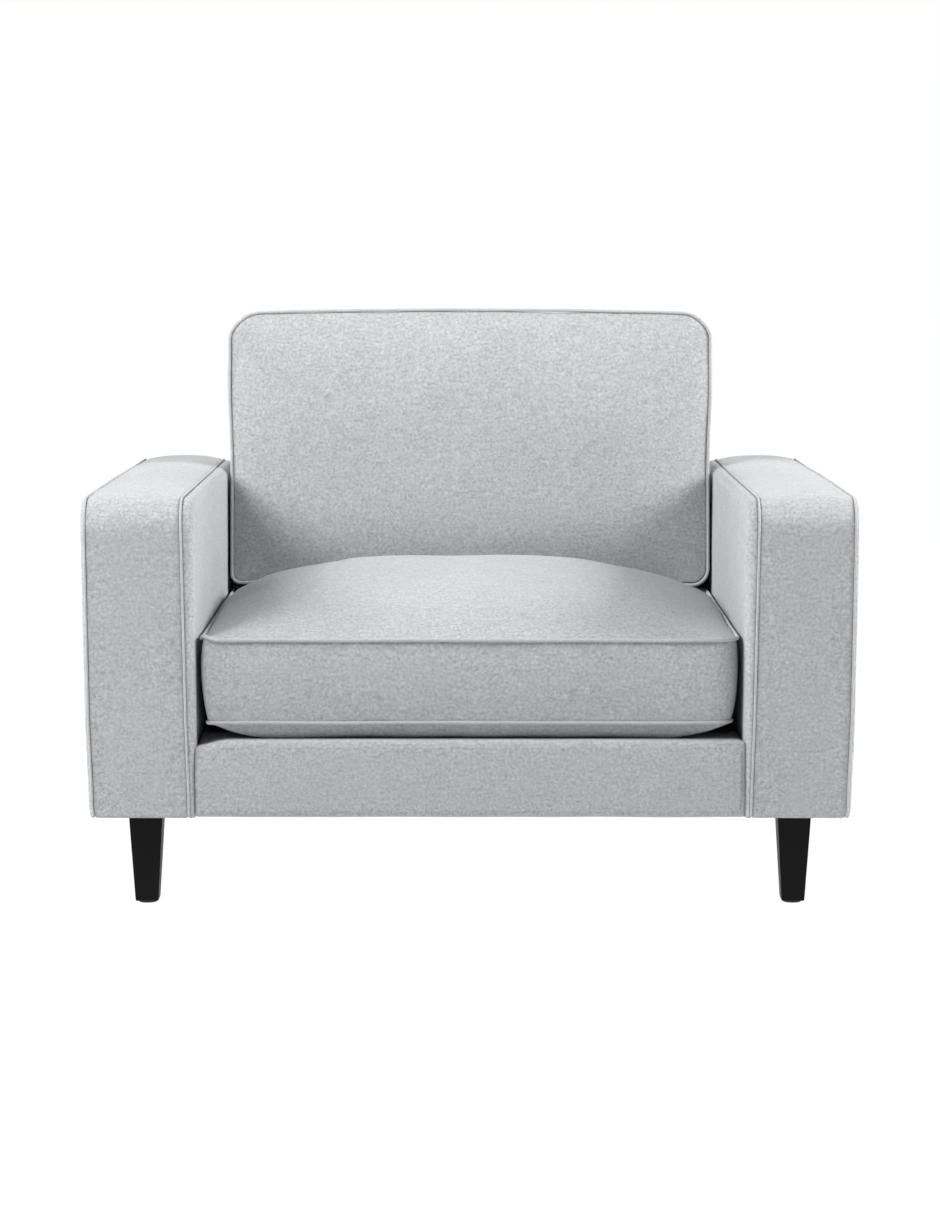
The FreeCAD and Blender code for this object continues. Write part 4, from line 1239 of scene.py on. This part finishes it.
@dataclass
class SeatBase:
    """Front border, deck and dust cover of the seat platform."""

    half_width: float = 0.3866
    spread: float = 0.0068
    foot: float = 0.1288
    deck: float = 0.238
    face: float = -0.4262
    rail: float = -0.411
    turn: float = 0.009
    pad_low: float = 0.2216
    pad_rear: float = 0.285
    dip_depth: float = 0.008
    dip_run: float = 0.045
    dip_pull: float = 0.35
    fade_run: float = 0.05
    face_crown: float = 0.0016
    cell: float = 0.012
    cloth: float = 0.0008
    spring_pitch: float = 0.1

    SPREAD_X = (0.3, 0.38)
    STAPLED_Y = (-0.374, 0.399)
    LIP_Y = (-0.4105, -0.328)
    DECK_Y = (-0.33, 0.284)
    DUST_Y = (-0.387, 0.412)

    def dip(self, x: float) -> float:
        """Gives how far the platform's front edge is pulled down at its left end."""
        return self.dip_depth * eased(x + self.half_width, (self.dip_run, 0.0))

    def fade(self, y: float) -> float:
        """Gives the share of the dip that is left behind the front rail."""
        return eased(y - self.rail, (self.fade_run, 0.0))

    def pad(self) -> bpy.types.Object:
        """Makes the wadding over the springs, which follows the dip of the border.

        Returns:
            The piece.
        """
        sides = (-self.half_width, self.half_width)
        outline = Outline(sides, (self.rail + MM, self.pad_rear), (3 * MM,) * 4, 60, 40, 2)
        low, high = self.pad_low, self.deck - 1.3 * MM

        def place(x: float, y: float, z: float) -> Vector:
            """Puts a point of the pad in the frame."""
            sink = self.dip(x) * self.fade(y) * (z - low) / (high - low)
            return Vector((x, y, z - sink))

        stations = [
            Station(2 * MM, low), Station(0.0, low + 2 * MM),
            Station(0.0, high - 3 * MM), Station(3 * MM, high),
        ]
        return loft("deck_wadding", outline, stations, place, low=lambda x, y: low, high=lambda x, y: high,
                    slot="foam", levels=0, uneven=(0.2 * MM, 0.03, 5.0))

    def border(self) -> bpy.types.Object:
        """Makes the padded border below the seat cushion.

        Returns:
            The piece.
        """
        outline = Outline((-self.half_width, self.half_width), (self.foot, self.deck + 2 * MM),
                          (0.004, 0.004, 0.006, 0.005), 84, 12, 3)
        stations = []
        for step in range(6):
            angle = math.pi / 2 * step / 5
            inset, back = (self.turn * (1 - part(angle)) for part in (math.sin, math.cos))
            stations.append(Station(inset, self.face + back))
        stations += [Station(0.0, self.rail - 1.5 * MM), Station(1.5 * MM, self.rail)]

        def place(x: float, z: float, y: float) -> Vector:
            """Spreads the face in front of the arms' turned edges, and sinks its left end."""
            dip = self.dip(x) * eased(z, (self.deck - self.dip_run, self.deck))
            behind = self.rail - 4 * MM
            spread = self.spread * eased(y, (behind, behind - self.turn)) * eased(abs(x), self.SPREAD_X)
            return Vector((x + math.copysign(spread, x), y + self.dip_pull * dip, z - dip))

        def front(x: float, z: float) -> float:
            """Crowns the face."""
            middle = (z - self.foot) / (self.deck - self.foot)
            return self.face - self.face_crown * max(1 - abs(2 * middle - 1) ** 2, 0.0)

        return loft("front_border", outline, stations, place, low=front, high=lambda x, z: self.rail,
                    uneven=(0.7 * MM, 0.09, 21.0))

    def sheet(
        self, name: str, y: tuple[float, float], level: Height, slot: str, half_width: float,
    ) -> bpy.types.Object:
        """Makes a flat cloth stretched over the seat platform.

        Args:
            name: Name of the piece.
            y: Front and rear edge.
            level: Height of the cloth.
            slot: Finish that it takes.
            half_width: Half its width.

        Returns:
            The piece.
        """
        wide, long = 64, max(int((y[1] - y[0]) / self.cell), 4)
        spots, faces = [], []
        for j in range(long + 1):
            for i in range(wide + 1):
                x, v = half_width * (2 * i / wide - 1), y[0] + (y[1] - y[0]) * j / long
                spots.append(Vector((x, v, level(x, v))))
        for j in range(long):
            for i in range(wide):
                a = j * (wide + 1) + i
                faces.append((a, a + 1, a + wide + 2, a + wide + 1))
        mesh = bpy.data.meshes.new(name)
        mesh.from_pydata(spots, [], faces)
        piece = finished(name, mesh, slot)
        thick = piece.modifiers.new("cloth", "SOLIDIFY")
        thick.thickness = self.cloth
        thick.offset = 0.0
        return piece

    def staples(self) -> bpy.types.Object:
        """Sets staples round the edge of the dust cover.

        Returns:
            The piece.
        """
        x, (y0, y1), z = 0.372, self.STAPLED_Y, self.foot + MM
        line = [Vector((*spot, z)) for spot in ((-x, y0), (x, y0), (x, y1), (-x, y1))]
        return ROW.grow(
            "dust_cover_staples", curve_of([line], True), "zinc_steel", Spacing=0.045, Length=0.011,
            Rise=1.0 * MM, Radius=0.45 * MM, Up=(0.0, 0.0, -1.0), Wobble=0.16, Seed=31,
        )

    def build(self) -> None:
        """Builds and dresses the seat base."""
        dressed(self.border(), "chair", ("front_border_cover", "front_border_pad"))
        dressed(self.pad(), "chair", ("deck_pad",))

        def sprung(x: float, y: float) -> float:
            """Lets the deck show the springs under it."""
            return self.deck - 0.6 * MM + 0.5 * MM * math.cos(x * math.tau / self.spring_pitch)

        def lip_level(x: float, y: float) -> float:
            """Follows the border's dip down."""
            return self.deck - 0.2 * MM - self.dip(x) * self.fade(y)

        def slack(x: float, y: float) -> float:
            """Lets the dust cover hang a little unevenly."""
            return self.foot + 1.8 * MM + 0.4 * MM * drift(Vector((x, y, 0)), 0.12, 5.0)

        for name, y, level, slot, half_width, nodes in (
            ("front_border_lip", self.LIP_Y, lip_level, "cover_fabric", 0.385, ()),
            ("deck_cloth_sheet", self.DECK_Y, sprung, "deck_fabric", 0.3855, ("deck_cloth",)),
            ("dust_cover_sheet", self.DUST_Y, slack, "dust_fabric", 0.3855, ("dust_cover",)),
        ):
            piece = dressed(self.sheet(name, y, level, slot, half_width), "chair", nodes)
        dressed(self.staples(), "chair")


# --- back ---------------------------------------------------------------------------------


@dataclass
class Back:
    """Upholstered back: inside cover over its pad, and the outside back with its seam."""

    half_width: float = 0.3864
    foot: float = 0.2215
    top: float = 0.7325
    skirt: float = 0.13
    slope: float = 0.025
    rear_foot: float = 0.4135
    return_depth: float = 0.03
    step: float = 0.008
    edge_swell: float = 0.004
    middle_swell: float = 0.02
    swell_edge: float = 0.1
    cloth: float = 0.0016
    rear_crown: float = 0.0007
    rear_edge: float = 0.09

    def front_y(self, z: float) -> float:
        """Gives the front face's place at a height."""
        return LEAN_FOOT[0] - 1.5 * MM + (z - LEAN_FOOT[1]) * math.tan(RAKE)

    def rear_y(self, z: float) -> float:
        """Gives the rear face's place at a height."""
        return self.rear_foot + (z - self.skirt - 1.5 * MM) * self.slope

    def inside(self) -> bpy.types.Object:
        """Makes the padded inside back, wrapped round its sides and top.

        Returns:
            The piece.
        """
        outline = Outline((-self.half_width, self.half_width), (self.skirt + MM, self.top),
                          (0.003, 0.003, 0.006, 0.006), 70, 60, 4, 0.2)

        def place(x: float, z: float, share: float) -> Vector:
            """Puts a point between the front and rear faces, which step back below the seat."""
            front, rear = self.front_y(z), self.rear_y(z)
            front += (rear - self.return_depth - front) * smooth((self.foot - z) / self.step)
            return Vector((x, front + (rear - front) * share, z))

        def front(x: float, z: float) -> float:
            """Crowns the pad."""
            edge = min(self.half_width - abs(x), self.top - z)
            swell = self.edge_swell + self.middle_swell * smooth(edge / self.swell_edge)
            return -swell * eased(z, (self.foot - 0.75 * self.step, self.foot))

        stations = []
        for step in range(6):
            angle = math.pi / 2 * step / 5
            stations.append(Station(0.01 * (1 - math.sin(angle)), 0.08 * (1 - math.cos(angle))))
        stations += [Station(0.0, 0.35), Station(0.0, 0.65), Station(0.0, 0.95), Station(1.5 * MM, 0.985)]
        return loft("inside_back", outline, stations, place, low=front, uneven=(0.8 * MM, 0.1, 41.0))

    def outside(self) -> bpy.types.Object:
        """Makes the outside back cover.

        Returns:
            The piece.
        """
        outline = Outline((-self.half_width, self.half_width), (self.skirt, self.top + MM),
                          (0.003, 0.003, 0.006, 0.006), 70, 54, 4)

        def place(x: float, z: float, out: float) -> Vector:
            """Puts a point out from the rear face."""
            return Vector((x, self.rear_y(z) + out, z))

        def rear(x: float, z: float) -> float:
            """Crowns the panel."""
            edge = min(self.half_width - abs(x), self.top - z, z - self.skirt)
            return self.cloth + self.rear_crown * smooth(edge / self.rear_edge)

        stations = [Station(2 * MM, -0.9 * MM), Station(0.3 * MM, -0.6 * MM), Station(0.0, 0.1 * MM),
                    Station(0.6 * MM, 1.0 * MM), Station(2 * MM, 1.5 * MM), Station(4 * MM, 1.6 * MM)]
        return loft("outside_back", outline, stations, place, low=lambda x, z: -0.9 * MM, high=rear,
                    uneven=(0.25 * MM, 0.12, 43.0))

    def stitches(self) -> bpy.types.Object:
        """Sews the edge of the outside back.

        Returns:
            The piece.
        """
        x, z0, z1 = self.half_width - 3.5 * MM, self.skirt + 0.02, self.top - 3 * MM
        turn = 0.006
        low, high = (self.rear_y(z) + 1.7 * MM for z in (z0, z1))
        half = [(x, low, z0), (x, high, z1 - turn), (x - turn, high, z1)]
        line = [Vector((-u, y, z)) for u, y, z in half] + [Vector(spot) for spot in reversed(half)]
        return ROW.grow(
            "outside_back_stitches", curve_of([line], False), "piping_fabric", Spacing=8 * MM, Length=5 * MM,
            Rise=0.9 * MM, Radius=0.35 * MM, Up=(0.0, 1.0, 0.0), Turn=0.25, Seed=47,
        )

    def build(self) -> None:
        """Builds and dresses the back."""
        dressed(self.inside(), "chair", ("back_cover", "back_pad"))
        cover = dressed(self.outside(), "chair", ("outside_back_cover",))
        dressed(self.stitches(), "chair")


# --- cushions -----------------------------------------------------------------------------


@dataclass
class SeatCushion:
    """Loose seat cushion with boxing, a high crown and two piped seams."""

    half_width: float = 0.3791
    front: float = -0.4146
    rear: float = 0.2826
    corner: float = 0.017
    low: float = 0.2395
    low_seam: float = 0.263
    top_seam: float = 0.382
    crown: float = 0.06533
    peak: float = 0.06
    dip: float = 0.172
    dip_share: float = 0.11
    belly_run: float = 0.11
    belly_turn: float = 0.024
    low_tuck: float = 0.006
    bulge: float = 0.0042
    sway: float = 0.0013
    corner_lift: float = 0.006
    overhang: float = 0.003
    fullness: float = 4.6
    left_extra: float = 0.7
    shoulder: float = 0.8
    front_fullness: float = 2.7
    rear_fullness: float = 2.4
    lip: float = 0.004
    corner_run: float = 0.02
    shoulder_height: float = 0.032
    lap_start: float = 0.01
    lap_run: float = 0.05
    turn_over: float = 0.08
    cord: float = 0.0027

    LAP_X = (-0.03, -0.01)

    def outline(self) -> Outline:
        """Draws the cushion from above."""
        radii = (0.012, 0.03, self.corner, self.corner)
        return Outline((-self.half_width, self.half_width), (self.front, self.rear), radii, 78, 72, 4)

    def place(self, x: float, y: float, z: float) -> Vector:
        """Lets the seams wander a little, as on a sewn cushion that has been sat on."""
        spot = Vector((x, y, z))
        sway = self.sway * drift(Vector((x, y, 0)), 0.16, 61.0)
        run = (self.corner_run, 0.0)
        corner = eased(x + self.half_width, run) * eased(y - self.front, run)
        lift = eased(z, (self.low_seam, self.top_seam))
        spot.z += sway + self.corner_lift * corner * lift
        above = min(max((z - self.top_seam) / self.shoulder_height, 0.0), 1.0)
        lap = math.sin(math.pi * above) * eased(abs(x) - self.half_width, self.LAP_X)
        start = self.front + self.lap_start
        ahead = eased(y, (start, start + self.lap_run)) * eased(y, (self.dip, self.dip - self.lap_run))
        spot.x += math.copysign(self.overhang * lap * ahead, x)
        return spot

    def rise(self, x: float, y: float) -> float:
        """Gives the top panel's height, fuller on the left than on the right.

        Args:
            x: Place across.
            y: Place along.

        Returns:
            The height.
        """
        power = self.fullness - self.left_extra * math.tanh(x / self.turn_over)
        across = max(1 - abs(x / self.half_width) ** power, 0.0) ** self.shoulder
        if y < self.peak:
            along = 1 - ((self.peak - y) / (self.peak - self.front)) ** self.front_fullness
        elif y < self.dip:
            gone = (y - self.peak) / (self.dip - self.peak)
            along = 1 - (1 - self.dip_share) * gone ** self.rear_fullness
        else:
            along = self.dip_share * (1 - smooth((y - self.dip) / (self.rear - self.dip)))
        edge = min(self.half_width - abs(x), y - self.front, self.rear - y)
        crown = self.crown * max(across * along, 0.0)
        return self.top_seam + crown + self.lip * smooth(edge / (5 * self.lip))

    def belly(self, x: float, y: float) -> float:
        """Gives the underside's height: flat where it rests, drawn up at its edges."""
        side = 1 - (1 - min((self.half_width - abs(x)) / self.belly_run, 1.0)) ** 2.5
        ahead = min(max(min(y - self.front, self.rear - y) / self.belly_turn, 0.0), 1.0)
        return self.low_seam - (self.low_seam - self.low) * side * math.sqrt(1 - (1 - ahead) ** 2)

    def cover(self) -> bpy.types.Object:
        """Makes the cover and lets its filling swell it.

        Returns:
            The piece.
        """
        tuck, rows = self.low_tuck, 13
        stations = [
            Station(0.014, self.belly), Station(0.007, self.belly),
            Station(tuck + 2 * MM, self.low_seam - MM),
            Station(tuck + GROOVE, self.low_seam), Station(tuck, self.low_seam + 3 * MM),
        ]
        for row in range(1, rows):
            share = row / rows
            level = self.low_seam + 3 * MM + (self.top_seam - self.low_seam - 6 * MM) * share
            inset = tuck * (1 - share) ** 2 - self.bulge * math.sin(math.pi * share) ** 0.7
            stations.append(Station(inset, level))
        stations += [
            Station(0.2 * MM, self.top_seam - 3 * MM), Station(GROOVE, self.top_seam),
            Station(0.003, self.rise), Station(0.006, self.rise), Station(0.014, self.rise),
        ]
        piece = loft(
            "seat_cushion_body", self.outline(), stations, self.place, low=self.belly, high=self.rise,
            uneven=(1.6 * MM, 0.085, 63.0),
        )
        count, last = self.outline().count(), len(stations)
        pins = [*range(2 * count, 5 * count), *range((last - 5) * count, (last - 2) * count)]
        fill_out(piece, pins, 1.2, 0.006)
        return piece

    def seams(self) -> bpy.types.Object:
        """Makes the cords round the upper and lower seams."""
        lines = [
            [self.place(x, y, z) for x, y in self.outline().ring(inset)]
            for z, inset in ((self.low_seam, self.low_tuck - 0.3 * MM), (self.top_seam, -2 * MM))
        ]
        return piping("seat_cushion_cords", lines, self.cord)

    def teeth(self) -> bpy.types.Object:
        """Sets the teeth of the zip in the rear boxing."""
        middle = (self.low_seam + self.top_seam) / 2
        return zip_teeth("seat_zip_teeth", self.rear + 2.4 * MM, middle, (0.0, 1.0, 0.0))

    def build(self) -> None:
        """Builds and dresses the seat cushion."""
        dressed(self.cover(), "seat_cushion", ("seat_cushion_cover", "seat_cushion_core"))
        dressed(self.seams(), "seat_cushion", ("seat_cushion_piping",))
        dressed(self.teeth(), "seat_cushion")


@dataclass
class BackCushion:
    """Loose back cushion that leans on the back, with boxing and two piped seams."""

    half_width: float = 0.3791
    foot: float = 0.1534
    head: float = 0.5836
    edge: float = -0.112
    rest: float = -0.002
    crown: float = 0.0324
    across_fullness: float = 3.2
    up_fullness: float = 2.8
    lip: float = 0.004
    sink: float = 0.0034
    held_swell: float = 0.0015
    free_swell: float = 0.007
    right_droop: float = 0.0075
    left_droop: float = 0.003
    arch: float = 0.0075
    side_run: float = 0.05
    top_run: float = 0.035
    droop_run: float = 0.12
    arch_run: float = 0.13
    cord: float = 0.0026

    FREE_W = (0.3, 0.46)
    RIGHT_X, LEFT_X = (0.2, 0.37), (0.25, 0.37)
    DROOP_SHARE = (0.0, 0.3)

    def outline(self) -> Outline:
        """Draws the cushion from the front: its lower left corner is the sharpest."""
        radii = (0.012, 0.024, 0.038, 0.042)
        return Outline((-self.half_width, self.half_width), (self.foot, self.head), radii, 76, 44, 5)

    def place(self, x: float, w: float, v: float) -> Vector:
        """Leans the cushion back, and lets its sides swell where no arm holds them.

        Args:
            x: Place across.
            w: Place up the lean.
            v: Place along the lean's normal, to the rear.

        Returns:
            The place.
        """
        share = min(max((v - self.edge) / (self.rest - self.edge), 0.0), 1.0)
        free = eased(w, self.FREE_W)
        beside = eased(abs(x), (self.half_width - self.side_run, self.half_width))
        swell = (0.5 * free + math.sin(math.pi * share) ** 0.7) * beside
        high = smooth((self.head - w) / self.top_run)
        x += math.copysign((self.held_swell + self.free_swell * free * high) * swell, x)
        droop = self.right_droop * eased(x, self.RIGHT_X) + self.left_droop * eased(-x, self.LEFT_X)
        w -= droop * eased(w, (self.foot + self.droop_run, self.foot)) * (1 - eased(share, self.DROOP_SHARE))
        w -= self.arch * abs(x / self.half_width) ** 2.5 * eased(w, (self.head - self.arch_run, self.head))
        w += 1.2 * MM * drift(Vector((x, w, 0)), 0.15, 71.0)
        return Vector((x, *leaning(v, w)))

    def front(self, x: float, w: float) -> float:
        """Gives the front panel's level, crowned between its seams."""
        across = 1 - abs(x / self.half_width) ** self.across_fullness
        along = 1 - abs(2 * (w - self.foot) / (self.head - self.foot) - 1) ** self.up_fullness
        edge = min(self.half_width - abs(x), w - self.foot, self.head - w)
        return self.edge - self.crown * max(across * along, 0.0) - self.lip * smooth(edge / (5 * self.lip))

    def back(self, x: float, w: float) -> float:
        """Gives the rear panel's level, flat where it rests."""
        edge = min(self.half_width - abs(x), w - self.foot, self.head - w)
        return self.rest - self.sink * (1 - smooth(edge / 0.04))

    def cover(self) -> bpy.types.Object:
        """Makes the cover and lets its filling swell it.

        Returns:
            The piece.
        """
        rear_seam, rows = self.rest - self.sink, 12
        stations = [
            Station(0.014, self.front), Station(0.006, self.front), Station(0.003, self.edge - MM),
            Station(GROOVE, self.edge), Station(0.2 * MM, self.edge + 3 * MM),
        ]
        for row in range(1, rows):
            share = row / rows
            stations.append(Station(0.0, self.edge + 3 * MM + (rear_seam - self.edge - 6 * MM) * share))
        stations += [
            Station(0.2 * MM, rear_seam - 3 * MM), Station(GROOVE, rear_seam),
            Station(0.003, self.back), Station(0.014, self.back),
        ]
        piece = loft(
            "back_cushion_body", self.outline(), stations, self.place, low=self.front, high=self.back,
            uneven=(1.6 * MM, 0.09, 73.0),
        )
        count, last = self.outline().count(), len(stations)
        pins = [*range(2 * count, 5 * count), *range((last - 4) * count, last * count)]
        fill_out(piece, pins, 1.2, 0.006)
        return piece

    def seams(self) -> bpy.types.Object:
        """Makes the cords round the front and rear seams."""
        ring = self.outline().ring(-2.0 * MM)
        lines = [[self.place(x, w, v) for x, w in ring] for v in (self.edge, self.rest - self.sink)]
        return piping("back_cushion_cords", lines, self.cord)

    def teeth(self) -> bpy.types.Object:
        """Sets the teeth of the zip in the lower boxing."""
        spot = leaning(self.edge / 2, self.foot - 2.5 * MM)
        return zip_teeth("back_zip_teeth", *spot, (0.0, -math.sin(RAKE), -math.cos(RAKE)))

    def build(self) -> None:
        """Builds and dresses the back cushion."""
        dressed(self.cover(), "back_cushion", ("back_cushion_cover", "back_cushion_core"))
        dressed(self.seams(), "back_cushion", ("back_cushion_piping",))
        dressed(self.teeth(), "back_cushion")


# --- legs ---------------------------------------------------------------------------------


@dataclass
class Leg:
    """Square tapered leg with eased edges."""

    node: str
    top: float = 0.048
    foot: float = 0.033
    low: float = 0.003
    high: float = 0.13

    def build(self) -> None:
        """Builds and dresses the leg."""
        corner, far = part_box(self.node)
        half = self.top / 2
        x, y = (corner[0] + far[0]) / 2, (corner[1] + far[1]) / 2
        taper = (self.top - self.foot) / 2
        outline = Outline((x - half, x + half), (y - half, y + half), (2.2 * MM,) * 4, 6, 6, 3)
        ease = 1.5 * MM
        stations = [Station(taper + ease, self.low), Station(taper + 0.4 * MM, self.low + 0.4 * MM)]
        rows = 8
        for row in range(rows + 1):
            share = row / rows
            level = self.low + ease + (self.high - self.low - 2 * ease) * share
            stations.append(Station(taper * (1 - share), level))
        stations += [Station(0.4 * MM, self.high - 0.4 * MM), Station(ease, self.high)]
        piece = loft(
            f"{self.node}_turned", outline, stations, lambda x, y, z: Vector((x, y, z)),
            low=lambda x, y: self.low, high=lambda x, y: self.high, slot="leg_wood",
        )
        dressed(piece, "chair", (self.node,))


# --- room ---------------------------------------------------------------------------------


@dataclass(frozen=True)
class Studio:
    """Pale floor, soft light from above and ahead, and the camera."""

    reach: float = 30.0
    lens: float = 96.74
    sensor: float = 36.0
    stand: tuple[float, float, float] = (0.0, -5.0, 0.951)
    tilt: float = math.radians(90 - 6.5)
    aim: tuple[float, float, float] = (0.0, 0.0, 0.4)
    lamp_size: float = 1.6

    LAMPS = (
        ("key", (-2.6, -2.0, 2.8), 120.0), ("fill", (2.6, -2.0, 2.8), 28.0), ("rear", (0.0, 3.2, 2.8), 60.0),
        ("left", (-3.6, -0.4, 2.4), 107.0), ("right", (3.6, -0.4, 2.4), 194.0),
    )

    def floor(self) -> None:
        """Lays the pale floor."""
        mesh = bpy.data.meshes.new("floor")
        signs = ((-1, -1), (1, -1), (1, 1), (-1, 1))
        mesh.from_pydata([(self.reach * a, self.reach * b, 0) for a, b in signs], [], [(0, 1, 2, 3)])
        floor = bpy.data.objects.new("floor", mesh)
        bpy.context.scene.collection.objects.link(floor)
        shade = Shade("floor_white")
        mesh.materials.append(shade.finish(
            Base_Color=(0.02,) * 3, Roughness=0.9, Emission_Color=(1.0,) * 3, Emission_Strength=1.0,
        ))
        floor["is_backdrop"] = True

    def lamp(self, name: str, spot: tuple[float, float, float], power: float) -> None:
        """Hangs one soft light.

        Args:
            name: Name of the light.
            spot: Where it hangs.
            power: Watts.
        """
        data = bpy.data.lights.new(name, "AREA")
        data.shape = "SQUARE"
        data.size = self.lamp_size
        data.energy = power
        lamp = bpy.data.objects.new(name, data)
        lamp.location = spot
        lamp.rotation_euler = (Vector(self.aim) - Vector(spot)).to_track_quat("-Z", "Y").to_euler()
        bpy.context.scene.collection.objects.link(lamp)

    def build(self) -> None:
        """Builds the room."""
        scene = bpy.context.scene
        world = bpy.data.worlds.new("studio")
        world.use_nodes = True
        background = world.node_tree.nodes["Background"]
        background.inputs["Color"].default_value = (1.0, 1.0, 1.0, 1.0)
        seen = world.node_tree.nodes.new("ShaderNodeLightPath")
        world.node_tree.links.new(seen.outputs["Is Camera Ray"], background.inputs["Strength"])
        scene.world = world
        scene.view_settings.view_transform = "Standard"
        self.floor()
        for lamp in self.LAMPS:
            self.lamp(*lamp)
        data = bpy.data.cameras.new("camera")
        data.sensor_fit = "VERTICAL"
        data.sensor_height = self.sensor
        data.lens = self.lens
        camera = bpy.data.objects.new("camera", data)
        camera.location = self.stand
        camera.rotation_euler = (self.tilt, 0.0, 0.0)
        scene.collection.objects.link(camera)
        scene.camera = camera


def paint_frame() -> None:
    """Gives every CAD node its own finish."""
    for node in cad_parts.values():
        for socket in node.material_slots:
            title = socket.material.name.split(".")[0] if socket.material else "timber"
            socket.material = PAINT[title]


def main() -> None:
    """Builds the chair in order."""
    paint_frame()
    Studio().build()
    for side in Side:
        Arm(side).build()
    SeatBase().build()
    Back().build()
    SeatCushion().build()
    BackCushion().build()
    for end in ("front", "rear"):
        for side in Side:
            Leg(f"{end}_{side.name.lower()}_leg").build()
    boxes = {"cad": CAD_BOUNDS, "visual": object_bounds()}
    sizes = {name: [list(corner) for corner in box] for name, box in boxes.items()}


if __name__ == "__main__":
    logging.basicConfig(level=logging.INFO, format="%(message)s")
    main()
